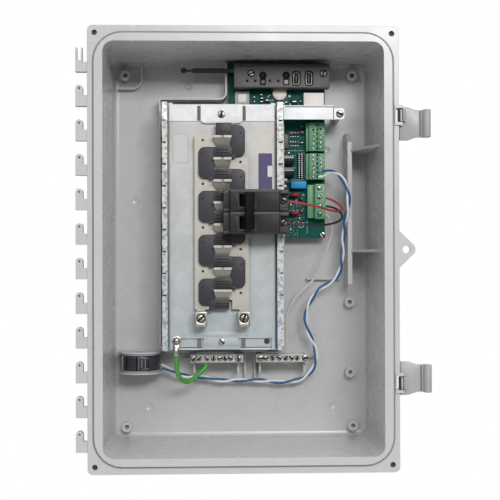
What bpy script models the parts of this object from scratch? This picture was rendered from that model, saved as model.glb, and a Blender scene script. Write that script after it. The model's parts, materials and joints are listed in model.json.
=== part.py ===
"""Subpanel enclosure: a moulded wall box with its load centre, circuit board, bars and wires.

Constants are in millimetres and the scene is in metres. +X is right, -Y is the front, +Z is up. The origin
is the centre of the back face, which rests on the wall.
"""

from math import cos, pi, radians, sin, tau

import bmesh
import bpy
from mathutils import Matrix, Vector

MM = 0.001
GAP = 0.3

# Moulded base
FLANGE_HALF = (172.5, 247.5)
FLANGE_FRONT = -134.0
FLANGE_BACK = -129.0
FLANGE_RADIUS = 6.0
SKIRT_THICKNESS = 3.0
SKIRT_BACK = -118.0
RIM_HALF = (165.0, 238.6)
RIM_RADIUS = 31.0
RIM_FRONT = -136.5
GROOVE_WIDTH = 1.3
GROOVE_DEPTH = 1.6
TUB_HALF = (159.0, 233.3)
TUB_RADIUS = 15.0
OPENING_HALF = (155.5, 229.8)
OPENING_RADIUS = 12.0
FLOOR_HALF = (153.3, 226.0)
FLOOR_Y = -4.0
SINK_Y = -3.0
CORNER_HOLES = (164.5, 239.2)
CORNER_HOLE_RADIUS = 3.1
WALL_THICKNESS = 2.2

# Hinge knuckles on the left edge
KNUCKLE_PITCH = 38.1
KNUCKLE_TOP = 181.6
KNUCKLE_COUNT = 11
KNUCKLE_HEIGHT = 23.7
KNUCKLE_X = (-185.3, -177.2)
KNUCKLE_Y = (-133.2, -125.0)
KNUCKLE_WEB_HEIGHT = 12.2
KNUCKLE_HOLE_DROP = 3.9
FORK_Z = (195.9, 208.8)
FORK_PRONG_TOP = 222.9

# Latches on the right edge
LATCH_BAR = (174.9, -133.6)
LATCH_BAR_RADIUS = 1.6
LATCH_SLOT_HALF = 7.7
LATCH_FRAME_HALF = 11.1
LATCHES = {"latch_upper": (148.4, 139.6), "latch_lower": (-148.7, -144.0)}

# Padlock ear
EAR_CENTRE = (182.0, -0.5)
EAR_RADIUS = 8.3
EAR_ROOT_HALF = 22.0
EAR_HOLE = (180.3, -0.6)
EAR_HOLE_RADIUS = 4.3

# Load centre pan
PAN_Z = (-117.0, 172.0)
PAN_SHEET = 1.5
PAN_FLOOR_FRONT = -61.5
PAN_FLOOR_X = (-84.2, 37.4)
PAN_FLAP_Z = (150.2, 170.0)
PAN_STEP_Z = -102.4
RAIL_TOP_Y = -69.2
RAIL_SLOT_TOP = 150.4
RAIL_SLOTS = 9
TAB_SCREW_TOP = (-24.0, 158.2)
TAB_SCREW_BOTTOM = (-24.3, -107.4)
GROUND_SCREW = (-76.8, -105.8)
GROUND_BOSS_RADIUS = 4.0

# Bus bars, stabs and lugs
STAB_PITCH = 25.4
STAB_TOP = 130.6
STAB_COUNT = 8
STAB_X = (-33.4, -12.6)
STAB_FRONT = -82.0
BAR_Y = (-69.0, -66.0)
LEFT_BAR_X = (-55.5, -34.0)
RIGHT_BAR_X = (-12.0, 7.2)
BUS_BOTTOM = -69.2
INSULATOR_FRONT = -74.0
LUG_Z = (-89.0, -71.0)
LUG_Y = (-84.0, -69.3)
LUG_WIDTH = 13.6
LUG_CENTRES = {"left": -48.2, "right": 1.3}

# Circuit breaker
POLE_CENTRES = {"upper": 55.6, "lower": 30.2}
POLE_HALF = 12.5
BREAKER_FRONT = -109.0
HANDLE_AXIS = (4.1, -103.0)
HANDLE_REST = 9.0
HUB_RADIUS = 7.6
TERMINAL_SCREW_X = 46.6

# Circuit board and cover
BOARD_X = (-14.4, 101.0)
BOARD_Z = (14.3, 225.6)
BOARD_Y = (-24.0, -22.4)
BOARD_SCREW = (97.8, 18.0)
COVER_X = (-8.6, 104.8)
COVER_Z = (192.4, 216.8)
COVER_FRONT = -46.0
COVER_BACK = -31.0
COVER_WALL = 1.8
COVER_SCREWS = {"left": (11.5, 209.2), "right": (97.4, 209.4)}
BUTTONS = {"left": (25.4, 206.9), "right": (53.2, 207.0)}
BUTTON_RADIUS = 3.2
USB_PORTS = {"left": (65.3, 203.4), "right": (80.3, 203.4)}

# Neutral and ground bars
BAR_BLOCK_Z = (-133.8, -123.8)
BAR_BLOCK_Y = (-40.0, -32.0)
GROUND_BAR_X = (-61.0, 1.6)
NEUTRAL_BAR_X = (17.0, 79.4)
GROUND_BAR_CLAMPS = (-50.8, -41.8, -34.0, -26.5, -20.2, -13.9)
NEUTRAL_BAR_CLAMPS = (28.5, 36.1, 44.2, 51.9, 58.9, 65.6)
BAR_SCREWS = {
    "ground_left": -56.6,
    "ground_right": -4.4,
    "neutral_left": 21.8,
    "neutral_right": 75.2,
}
BAR_SCREW_Z = -128.8

# Current transformer, a ring on a vertical axis
CT_CENTRE = (-121.2, -29.0)
CT_Z = (-144.4, -122.4)
CT_RADIUS = 24.2
CT_HOLE_RADIUS = 11.0

# Wires: diameters, and the routes that they follow
LEAD_DIAMETER = 2.6
TWIST_RADIUS = 1.55
TWIST_PITCH = 46.0
SUPPLY_DIAMETER = 2.6
NEUTRAL_DIAMETER = 2.2
GROUND_DIAMETER = 5.6

PAIR_ROUTE = (
    (104.5, -42, 92.9), (113.6, -47, 90.2), (121.4, -50, 80.5), (125.4, -51.5, 68.5), (126.4, -51.5, 57.5),
    (125.4, -50.5, 48), (124, -48.2, 40.5), (122.6, -43, 31), (122, -39, 20), (121.2, -36, 6), (120.2, -35, -10),
    (118.6, -34, -22.5), (113, -33, -34), (103, -32, -41.5), (92, -32, -47.8), (84, -31, -59),
    (78.2, -30, -72), (77, -28, -86), (80.2, -26, -99), (85.8, -25, -110.5), (89.3, -24, -123),
    (88.6, -23, -137), (81.8, -22, -149), (69, -21, -156.8), (49, -20, -159.4), (28, -20, -157.6),
    (8, -20, -157), (-10, -20, -157), (-28, -20, -156.6), (-45, -20, -153), (-62, -21, -151.8),
    (-76, -24, -148.6), (-84.5, -27, -143),
)
PAIR_STARTS = {"blue": (91.8, -38.2, 91.6), "white": (91.6, -38.2, 86.9)}
PAIR_MIDS = {"blue": (96.6, -38.6, 93.6), "white": (97.6, -39.4, 87.6)}
PAIR_ENDS = {"blue": (-96.0, -29.0, -140.8), "white": (-96.0, -29.0, -136.0)}
RED_ROUTE = (
    (48.5, -86.5, 55.6), (56, -86.5, 55), (66, -85, 53.4), (77, -82, 51.4), (88, -78, 49.3), (98.5, -72, 46.8),
    (107, -64.5, 45.2), (113.6, -57.5, 45), (118, -51.5, 47.4), (118, -46.5, 51.2), (113.8, -43, 55.4),
    (107.4, -38.8, 59.6), (100.9, -36.8, 62),
)
BLACK_ROUTE = (
    (48.5, -86.5, 30.2), (57, -86.5, 29.4), (70, -85.5, 28.6), (84, -81, 28.2), (96, -75, 28.8),
    (107, -67.5, 30.8), (115, -60, 34.2), (118.4, -54, 38.6), (117.2, -49.4, 43.4), (112.8, -44.6, 48),
    (107, -39.4, 50.9), (100.9, -36.8, 52.2),
)
NEUTRAL_ROUTE = (
    (100.9, -35.5, 42.0), (105.6, -34.5, 37.4), (108.6, -33.6, 28), (107.4, -32.6, 16), (103.2, -31.6, 4),
    (97.6, -31, -9), (90.4, -30.6, -29), (83.2, -31, -38.8), (71, -33.5, -49.8), (61, -36, -61),
    (55.2, -37.5, -72.4), (53, -38, -84), (53.2, -38, -98), (52.6, -37.6, -111), (52, -36.4, -123.4),
)
GREEN_ROUTE = (
    (-77.2, -64.8, -123.6), (-77.2, -64.6, -130), (-76, -62, -143), (-71.4, -56.4, -151.4),
    (-65.2, -50, -155), (-58, -44.6, -152.6), (-50.6, -40.4, -146), (-43.6, -37.2, -139.6),
    (-42.2, -36.4, -135.2),
)


# ---------------------------------------------------------------- helpers


def start_collections():
    for old in list(bpy.data.objects):
        bpy.data.objects.remove(old)
    parts = bpy.data.collections.new("subpanel_enclosure")
    bpy.context.scene.collection.children.link(parts)
    return parts


PARTS = start_collections()


def material(name, colour, roughness, metallic=0.0):
    made = bpy.data.materials.new(name)
    made.use_nodes = True
    shader = made.node_tree.nodes["Principled BSDF"]
    shader.inputs["Base Color"].default_value = (*colour, 1)
    shader.inputs["Roughness"].default_value = roughness
    shader.inputs["Metallic"].default_value = metallic
    return made


GREY_PLASTIC = material("grey_polycarbonate", (0.56, 0.57, 0.57), 0.35)
BLACK_PLASTIC = material("black_phenolic", (0.02, 0.02, 0.022), 0.45)
COVER_PLASTIC = material("dark_cover_plastic", (0.09, 0.085, 0.09), 0.4)
GALVANISED = material("galvanised_steel", (0.62, 0.65, 0.67), 0.35, 0.9)
TINNED = material("tinned_bus", (0.72, 0.68, 0.6), 0.35, 0.9)
ALUMINIUM = material("lug_aluminium", (0.6, 0.6, 0.58), 0.35, 0.9)
BRIGHT_STEEL = material("bright_zinc_screw", (0.75, 0.75, 0.73), 0.25, 1.0)
TINNED_COPPER = material("tinned_copper", (0.75, 0.6, 0.5), 0.3, 1.0)
BOARD_GREEN = material("board_green", (0.01, 0.18, 0.12), 0.4)
TERMINAL_GREEN = material("terminal_green", (0.22, 0.5, 0.27), 0.4)
WHITE_PLASTIC = material("white_plastic", (0.8, 0.78, 0.74), 0.45)
BLUE_PLASTIC = material("capacitor_blue", (0.02, 0.28, 0.6), 0.35)
RED_COATING = material("varistor_red", (0.5, 0.02, 0.02), 0.35)
INSULATION = {
    "blue": material("insulation_blue", (0.02, 0.1, 0.35), 0.4),
    "white": material("insulation_white", (0.8, 0.8, 0.82), 0.4),
    "red": material("insulation_red", (0.5, 0.03, 0.04), 0.4),
    "black": material("insulation_black", (0.02, 0.02, 0.02), 0.4),
    "neutral": material("insulation_beige", (0.7, 0.62, 0.56), 0.4),
    "green": material("insulation_green", (0.1, 0.4, 0.08), 0.4),
}


def along(axis, u, v, w):
    """The point that lies at u, v across an axis and at w along it."""
    return {"X": (w, u, v), "Y": (u, w, v), "Z": (u, v, w)}[axis]


def object_of(shape):
    """A new object that holds a bmesh, with its faces pointing out."""
    shape.normal_update()
    bmesh.ops.recalc_face_normals(shape, faces=shape.faces)
    mesh = bpy.data.meshes.new("shape")
    shape.to_mesh(mesh)
    shape.free()
    piece = bpy.data.objects.new("shape", mesh)
    PARTS.objects.link(piece)
    return piece


def baked(piece):
    """The piece with its modifiers applied."""
    graph = bpy.context.evaluated_depsgraph_get()
    mesh = bpy.data.meshes.new_from_object(piece.evaluated_get(graph))
    piece.modifiers.clear()
    piece.data = mesh
    return piece


def combine(body, others, operation):
    group = bpy.data.collections.new("operands")
    bpy.context.scene.collection.children.link(group)
    for other in others:
        PARTS.objects.unlink(other)
        group.objects.link(other)
    change = body.modifiers.new("combine", "BOOLEAN")
    change.operation = operation
    change.operand_type = "COLLECTION"
    change.collection = group
    baked(body)
    for other in others:
        bpy.data.objects.remove(other)
    bpy.data.collections.remove(group)
    return body


def join(body, *others):
    return combine(body, others, "UNION")


def cut(body, *others):
    return combine(body, others, "DIFFERENCE")


def finish(piece, name, finish_material):
    piece.name = name
    piece.data.name = name
    piece.data.materials.clear()
    piece.data.materials.append(finish_material)
    piece.data.shade_smooth()
    piece.data.set_sharp_from_angle(angle=radians(35))
    return piece


def block(x, y, z):
    """A box between the limits given along each axis."""
    shape = bmesh.new()
    bmesh.ops.create_cube(shape, size=1)
    for vertex in shape.verts:
        vertex.co = Vector(
            (low + (place + 0.5) * (high - low)) * MM
            for place, (low, high) in zip(vertex.co, (x, y, z))
        )
    return object_of(shape)


def centred(centre, half_width):
    return (centre - half_width, centre + half_width)


def cylinder(centre, radius, span, axis="Y", segments=16, end_radius=None):
    """A round bar along an axis, with centre across it and span along it."""
    shape = bmesh.new()
    bmesh.ops.create_cone(
        shape,
        cap_ends=True,
        segments=segments,
        radius1=radius * MM,
        radius2=(radius if end_radius is None else end_radius) * MM,
        depth=(span[1] - span[0]) * MM,
    )
    middle = sum(span) / 2 * MM
    for vertex in shape.verts:
        u, v, w = vertex.co
        vertex.co = along(axis, u + centre[0] * MM, v + centre[1] * MM, w + middle)
    return object_of(shape)


def prism(outline, span, axis="Y"):
    """A flat outline, given across the axis, extruded over the span along it."""
    curve = bpy.data.curves.new("outline", "CURVE")
    curve.dimensions = "2D"
    curve.fill_mode = "BOTH"
    curve.extrude = (span[1] - span[0]) / 2 * MM
    spline = curve.splines.new("POLY")
    spline.points.add(len(outline) - 1)
    for point, (u, v) in zip(spline.points, outline):
        point.co = (u * MM, v * MM, 0, 1)
    spline.use_cyclic_u = True
    guide = bpy.data.objects.new("outline", curve)
    PARTS.objects.link(guide)
    graph = bpy.context.evaluated_depsgraph_get()
    mesh = bpy.data.meshes.new_from_object(guide.evaluated_get(graph))
    bpy.data.objects.remove(guide)
    shape = bmesh.new()
    shape.from_mesh(mesh)
    bmesh.ops.remove_doubles(shape, verts=shape.verts, dist=1e-6)
    bmesh.ops.dissolve_limit(shape, angle_limit=radians(0.5), verts=shape.verts, edges=shape.edges)
    middle = sum(span) / 2 * MM
    for vertex in shape.verts:
        u, v, w = vertex.co
        vertex.co = along(axis, u, v, w + middle)
    return object_of(shape)


def rounded(u, v, radii, steps=5):
    """A rectangle's outline with its own radius at each corner: low-low, high-low, high-high, low-high."""
    corners = ((u[0], v[0], 1, 1), (u[1], v[0], -1, 1), (u[1], v[1], -1, -1), (u[0], v[1], 1, -1))
    outline = []
    for index, ((corner_u, corner_v, side_u, side_v), radius) in enumerate(zip(corners, radii)):
        if radius == 0:
            outline.append((corner_u, corner_v))
            continue
        for step in range(steps + 1):
            angle = (index + step / steps) * pi / 2 + pi
            outline.append((
                corner_u + radius * (side_u + cos(angle)),
                corner_v + radius * (side_v + sin(angle)),
            ))
    return outline


def rounded_plate(half, radius, span, steps=6):
    return prism(rounded((-half[0], half[0]), (-half[1], half[1]), [radius] * 4, steps), span)


def sheet(path, span, axis, thickness):
    """A wall of one thickness that follows a path across the axis, over the span along it."""
    shape = bmesh.new()
    corners = [shape.verts.new(Vector(along(axis, u, v, span[0])) * MM) for u, v in path]
    edges = [shape.edges.new(pair) for pair in zip(corners, corners[1:])]
    made = bmesh.ops.extrude_edge_only(shape, edges=edges)["geom"]
    lifted = [item for item in made if isinstance(item, bmesh.types.BMVert)]
    bmesh.ops.translate(shape, verts=lifted, vec=Vector(along(axis, 0, 0, span[1] - span[0])) * MM)
    piece = object_of(shape)
    solid = piece.modifiers.new("thickness", "SOLIDIFY")
    solid.thickness = thickness * MM
    solid.offset = 0
    solid.use_even_offset = True
    return baked(piece)


def turned(profile, centre, span_start, axis="Y", steps=12):
    """A turned piece: profile is (radius, height) from its tip down; heights run towards the front."""
    mesh = bpy.data.meshes.new("profile")
    corners = [(radius * MM, 0, height * MM) for radius, height in profile]
    mesh.from_pydata(corners, [(i, i + 1) for i in range(len(corners) - 1)], [])
    piece = bpy.data.objects.new("profile", mesh)
    PARTS.objects.link(piece)
    screw = piece.modifiers.new("turn", "SCREW")
    screw.steps = steps
    screw.render_steps = steps
    screw.use_merge_vertices = True
    screw.merge_threshold = 1e-5
    baked(piece)
    shape = bmesh.new()
    shape.from_mesh(piece.data)
    bpy.data.objects.remove(piece)
    bmesh.ops.remove_doubles(shape, verts=shape.verts, dist=1e-6)
    sign = -1 if axis == "Y" else 1
    for vertex in shape.verts:
        u, v, w = vertex.co
        vertex.co = along(axis, u + centre[0] * MM, v + centre[1] * MM, span_start * MM + sign * w)
    return object_of(shape)


def arc(centre, radius, start, end, steps):
    """Points on an arc, with its angles in degrees."""
    for step in range(steps + 1):
        angle = radians(start + (end - start) * step / steps)
        yield (centre[0] + radius * cos(angle), centre[1] + radius * sin(angle))


def turn_about(piece, pivot, degrees):
    """Turns a piece about the vertical line through pivot."""
    place = Vector((pivot[0], pivot[1], 0)) * MM
    piece.data.transform(
        Matrix.Translation(place) @ Matrix.Rotation(radians(degrees), 4, "Z") @ Matrix.Translation(-place)
    )
    return piece


def set_origin(piece, point):
    """Puts a piece's origin on its joint's axis, leaving its shape where it is."""
    place = Vector(point) * MM
    piece.data.transform(Matrix.Translation(-place))
    piece.location = place
    return piece


def screw(name, place, seat, head=3.4, height=2.4, shank=1.7, length=8.0, finish_material=None):
    """A slotted pan-head screw that faces front, with its head resting at y = seat."""
    profile = (
        (0, height),
        (head * 0.62, height * 0.94),
        (head * 0.93, height * 0.55),
        (head, 0),
        (shank, 0),
        (shank, -length),
        (0, -length),
    )
    piece = turned(profile, place, seat)
    slot_y = (seat - height - 1, seat - height * 0.55)
    slot = block(centred(place[0], head), slot_y, centred(place[1], head * 0.13))
    finish(cut(piece, slot), name, finish_material or BRIGHT_STEEL)
    return piece


# ---------------------------------------------------------------- the moulded base


def scaled_back(piece, back, half_from, half_to):
    """Draws the back end of a prism in, for the draft of a moulded wall."""
    for vertex in piece.data.vertices:
        if abs(vertex.co.y - back * MM) < 1e-6:
            vertex.co.x *= half_to[0] / half_from[0]
            vertex.co.z *= half_to[1] / half_from[1]
    return piece


def round_back(piece, back, radius, segments=3):
    """Rounds the edge where a prism's sides meet its back."""
    shape = bmesh.new()
    shape.from_mesh(piece.data)
    rim = [edge for edge in shape.edges if all(abs(v.co.y - back * MM) < 1e-6 for v in edge.verts)]
    bmesh.ops.bevel(shape, geom=rim, offset=radius * MM, segments=segments, profile=0.5, affect="EDGES")
    shape.to_mesh(piece.data)
    shape.free()
    return piece


def tub_solids():
    """The closed outer form of the tub, its flange, skirt and raised rim."""
    outside = round_back(rounded_plate(TUB_HALF, TUB_RADIUS, (FLANGE_FRONT + 1, 0)), 0, 5)
    flange = rounded_plate(FLANGE_HALF, FLANGE_RADIUS, (FLANGE_FRONT, FLANGE_BACK), 4)
    skirt = rounded_plate(FLANGE_HALF, FLANGE_RADIUS, (FLANGE_BACK - 1, SKIRT_BACK), 4)
    inner = [half - SKIRT_THICKNESS for half in FLANGE_HALF]
    cut(skirt, rounded_plate(inner, FLANGE_RADIUS - SKIRT_THICKNESS, (FLANGE_BACK - 2, SKIRT_BACK + 1), 4))
    rim = rounded_plate(RIM_HALF, RIM_RADIUS, (RIM_FRONT, FLANGE_FRONT + 1))
    return outside, [flange, skirt, rim]


def tub_cavity():
    cavity = rounded_plate(OPENING_HALF, OPENING_RADIUS, (RIM_FRONT - 1, FLOOR_Y))
    return round_back(scaled_back(cavity, FLOOR_Y, OPENING_HALF, FLOOR_HALF), FLOOR_Y, 5)


def rim_groove():
    """The shallow channel outside the raised rim."""
    half = [side + GROOVE_WIDTH for side in RIM_HALF]
    channel = rounded_plate(half, RIM_RADIUS + GROOVE_WIDTH, (RIM_FRONT - 1, FLANGE_FRONT + GROOVE_DEPTH))
    return cut(channel, rounded_plate(RIM_HALF, RIM_RADIUS, (RIM_FRONT - 2, FLANGE_FRONT + 3)))


def hinge_knuckles():
    """The row of tongues that the door's knuckles snap between, and the fork at the top."""
    pieces = []
    middle = sum(KNUCKLE_X) / 2
    half = (KNUCKLE_X[1] - KNUCKLE_X[0]) / 2
    root = (KNUCKLE_X[1] - 1, -FLANGE_HALF[0] + 1)
    for index in range(KNUCKLE_COUNT):
        top = KNUCKLE_TOP - index * KNUCKLE_PITCH
        bottom = top - KNUCKLE_HEIGHT
        outline = [(KNUCKLE_X[0], bottom), (KNUCKLE_X[1], bottom)]
        outline += arc((middle, top - half), half, 0, 180, 8)
        pieces.append(prism(outline, KNUCKLE_Y))
        pieces.append(block(root, KNUCKLE_Y, (bottom, bottom + KNUCKLE_WEB_HEIGHT)))
    pieces.append(block((KNUCKLE_X[0], root[1]), KNUCKLE_Y, (FORK_Z[0], FORK_Z[1] - 2)))
    pieces.append(block((KNUCKLE_X[0], KNUCKLE_X[1] - 0.4), KNUCKLE_Y, FORK_Z))
    for side, x in ((-1, KNUCKLE_X[0] + 0.9), (1, KNUCKLE_X[1] - 1.3)):
        barb_z = FORK_Z[1] + 6.5
        prong = [
            (x - 0.9, FORK_Z[1] - 1),
            (x + 0.9, FORK_Z[1] - 1),
            (x + 0.9, barb_z),
            (x + 0.6, FORK_PRONG_TOP),
            (x - 0.4, FORK_PRONG_TOP),
            (x - 0.9 + side * 0.3, barb_z + 2),
            (x - 0.9, barb_z - 1),
        ]
        pieces.append(prism(prong, KNUCKLE_Y))
    return pieces


def knuckle_holes():
    middle = sum(KNUCKLE_X) / 2
    return [
        cylinder(
            (middle, KNUCKLE_TOP - KNUCKLE_HOLE_DROP - index * KNUCKLE_PITCH),
            1.3,
            (KNUCKLE_Y[0] - 1, KNUCKLE_Y[0] + 4),
            segments=8,
        )
        for index in range(KNUCKLE_COUNT)
    ]


def latch_frames():
    return [
        block((167.6, 176.7), (-136.2, -130.4), centred(slot_z, LATCH_FRAME_HALF))
        for slot_z, _ in LATCHES.values()
    ]


def latch_slots():
    return [
        block((169.0, 182.0), (-140.0, SKIRT_BACK + 1), centred(slot_z, LATCH_SLOT_HALF))
        for slot_z, _ in LATCHES.values()
    ]


def latch_bars():
    return [
        cylinder(LATCH_BAR, LATCH_BAR_RADIUS, centred(slot_z, LATCH_SLOT_HALF + 1), "Z", 10)
        for slot_z, _ in LATCHES.values()
    ]


def padlock_ear():
    outline = [(171.0, EAR_CENTRE[1] - EAR_ROOT_HALF)]
    outline += arc(EAR_CENTRE, EAR_RADIUS, -58, 58, 8)
    outline += [(171.0, EAR_CENTRE[1] + EAR_ROOT_HALF)]
    return prism(outline, (FLANGE_FRONT, FLANGE_BACK))


FLOOR_BOSSES = (
    (-139.5, 211.2), (135.4, 211.6), (131.8, -63.5), (132.2, -148.6), (-138.2, -213.0), (135.3, -213.4),
)


def floor_bosses():
    return [cylinder(place, 6.3, (-16, SINK_Y), segments=18) for place in FLOOR_BOSSES]


def floor_posts():
    """Posts that carry the pan, the board, the strap and the two bars."""
    posts = [
        cylinder(TAB_SCREW_TOP, 6, (-59.7, SINK_Y)),
        cylinder(TAB_SCREW_BOTTOM, 6, (-56.7, SINK_Y)),
        cylinder((115.5, 159.8), 4.2, (-55.9, SINK_Y), end_radius=5.2),
        cylinder(BOARD_SCREW, 4, (BOARD_Y[1] + GAP, SINK_Y)),
    ]
    for place in COVER_SCREWS.values():
        posts.append(cylinder(place, 4, (BOARD_Y[1] + GAP, SINK_Y)))
    for x in BAR_SCREWS.values():
        posts.append(cylinder((x, BAR_SCREW_Z), 4.4, (BAR_BLOCK_Y[1] + GAP, SINK_Y), segments=12))
        posts.append(block(centred(x, 1.1), (-27, SINK_Y), (-147, BAR_SCREW_Z)))
    return posts


def screw_pockets():
    """Blind holes for the screws that go into the bosses and posts."""
    pockets = [cylinder(place, 2.6, (-17, -8), segments=12) for place in FLOOR_BOSSES]
    pockets.append(cylinder(TAB_SCREW_TOP, 2.1, (-60.7, -48), segments=10))
    pockets.append(cylinder(TAB_SCREW_BOTTOM, 2.1, (-57.7, -45), segments=10))
    pockets.append(cylinder((115.5, 159.8), 2.1, (-57, -44), segments=10))
    for place in (BOARD_SCREW, *COVER_SCREWS.values()):
        pockets.append(cylinder(place, 2.1, (BOARD_Y[1] - 1, -10), segments=10))
    for x in BAR_SCREWS.values():
        pockets.append(cylinder((x, BAR_SCREW_Z), 2.1, (BAR_BLOCK_Y[1] - 1, -18), segments=10))
    return pockets


def floor_ribs():
    """Ribs and low walls moulded on the back and on the right side."""
    chassis_wall = [(-17.8, 226.5), (-17.8, 189.0)]
    chassis_wall += arc((-25.8, 189.0), 8, 0, -90, 4)
    chassis_wall += [(-97.4, 181.0), (-97.4, -113.0)]
    chassis_wall += arc((-89.4, -113.0), 8, 180, 270, 3)
    chassis_wall += [(44.0, -121.0), (52.4, -113.6)]
    boss_wall = [(-119.6, 226.5), (-119.6, 207.0)]
    boss_wall += arc((-130.6, 207.0), 11, 0, -90, 4)
    boss_wall += [(-147.5, 196.0)]
    side_gusset = [(130.0, SINK_Y), (130.0, -44.0), (154.8, -108.0), (157.0, -108.0), (157.0, SINK_Y)]
    ribs = [
        sheet(chassis_wall, (-30, SINK_Y), "Y", WALL_THICKNESS),
        sheet(boss_wall, (-14, SINK_Y), "Y", WALL_THICKNESS),
        prism([(SINK_Y, -41), (-44, -41), (-44, 128), (-20, 141), (SINK_Y, 141)], (126.2, 131.4), "X"),
        block((80, 121), (-12, SINK_Y), (-36.2, -33.6)),
        block((3.2, 5.2), (-14, SINK_Y), (-153.6, -119)),
        block((15.2, 17.2), (-14, SINK_Y), (-158.4, -119)),
        cylinder((15.4, -159.4), 3.4, (-14, SINK_Y), segments=12),
        block((-71, -61.4), (-10, SINK_Y), (-133, -130.6)),
        block((81.4, 91), (-10, SINK_Y), (-131, -128.6)),
    ]
    for z in (118.2, -1.6):
        ribs.append(prism(side_gusset, centred(z, 1.5), "Z"))
    return ribs


def transformer_shelves():
    """Two shelves that hold the current transformer between them."""
    shelves = []
    for z in ((CT_Z[1] + GAP, CT_Z[1] + GAP + 1.6), (CT_Z[0] - GAP - 1.6, CT_Z[0] - GAP)):
        outline = [(CT_CENTRE[0] - 25.4, SINK_Y)]
        outline += arc(CT_CENTRE, 25.4, 180, 360, 14)
        outline += [(CT_CENTRE[0] + 25.4, SINK_Y)]
        shelf = prism(outline, z, "Z")
        shelves.append(cut(shelf, cylinder(CT_CENTRE, CT_HOLE_RADIUS + 0.6, (z[0] - 1, z[1] + 1), "Z")))
    return shelves


def enclosure_base():
    base, outer = tub_solids()
    join(base, *outer, padlock_ear(), *latch_frames())
    corner_holes = [
        cylinder((side * CORNER_HOLES[0], end * CORNER_HOLES[1]), CORNER_HOLE_RADIUS, (-140, -110))
        for side in (-1, 1)
        for end in (-1, 1)
    ]
    ear_hole = cylinder(EAR_HOLE, EAR_HOLE_RADIUS, (-140, -120), segments=20)
    cut(base, tub_cavity(), rim_groove(), *latch_slots(), *corner_holes, ear_hole)
    join(base, *hinge_knuckles(), *latch_bars(), *floor_bosses(), *floor_posts(), *floor_ribs())
    join(base, *transformer_shelves())
    cut(base, *screw_pockets(), *knuckle_holes())
    return finish(base, "enclosure_base", GREY_PLASTIC)


def latch(name, slot_z, plate_z):
    """A snap-over handle: a clip round the base's bar, a waisted plate and a rolled lip."""
    half_root, half_tip = 18.6, 14.9
    upper = [
        (173.4, half_root),
        (183.0, half_root),
        (187.5, half_root - 1.6),
        (192.0, half_tip + 0.5),
        (199.0, half_tip),
    ]
    outline = [(x, plate_z + half) for x, half in upper]
    outline += [(x, plate_z - half) for x, half in reversed(upper)]
    plate = prism(outline, (-128.8, -125.6))
    lip_outline = [
        (197.6, -125.6), (197.6, -128.8), (199.4, -130.0), (200.0, -135.2), (201.6, -137.4), (204.0, -138.2),
        (206.4, -137.2), (207.8, -134.4), (208.0, -130.6), (207.0, -127.4), (204.4, -125.6),
    ]
    lip = prism(lip_outline, centred(plate_z, 15.4), "Z")
    clip_z = centred(slot_z, LATCH_SLOT_HALF - 0.6)
    clip = cylinder(LATCH_BAR, 4.0, clip_z, "Z", 14)
    neck = block((177.4, 180.6), (-133.6, -126.4), clip_z)
    join(plate, lip, clip, neck)
    bore_z = centred(slot_z, LATCH_SLOT_HALF + 1)
    bore = cylinder(LATCH_BAR, LATCH_BAR_RADIUS + 0.45, bore_z, "Z", 12)
    mouth = block(centred(LATCH_BAR[0], 1.5), (-140, LATCH_BAR[1]), bore_z)
    finish(cut(plate, bore, mouth), name, GREY_PLASTIC)
    return set_origin(plate, (*LATCH_BAR, plate_z))


# ---------------------------------------------------------------- the load centre


def rail(side):
    """One folded edge of the pan: outer wall, raised rail and the valley beside the floor."""
    back, valley, floor = -46.0, -55.0, PAN_FLOOR_FRONT + PAN_SHEET / 2
    if side < 0:
        path = [
            (-92.5, back), (-92.5, RAIL_TOP_Y), (-87.6, RAIL_TOP_Y), (-87.6, valley),
            (-84.2, valley), (-84.2, floor), (-81.0, floor),
        ]
    else:
        path = [
            (34.0, floor), (37.4, floor), (37.4, valley), (41.2, valley), (41.2, RAIL_TOP_Y),
            (47.2, RAIL_TOP_Y), (47.2, back), (50.4, back),
        ]
    return sheet(path, PAN_Z, "Z", PAN_SHEET)


def rail_slots():
    """Short slots along both rails, one for each breaker position."""
    slots = []
    for index in range(RAIL_SLOTS):
        z = RAIL_SLOT_TOP - index * STAB_PITCH
        slots.append(block((-94.0, -88.6), (-72, -66), centred(z, 0.9)))
        slots.append(block((-94.0, -92.6), (-72, -64), (z, z + 6.4)))
        slots.append(block((42.4, 48.6), (-72, -66), centred(z, 0.9)))
    return slots


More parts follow.
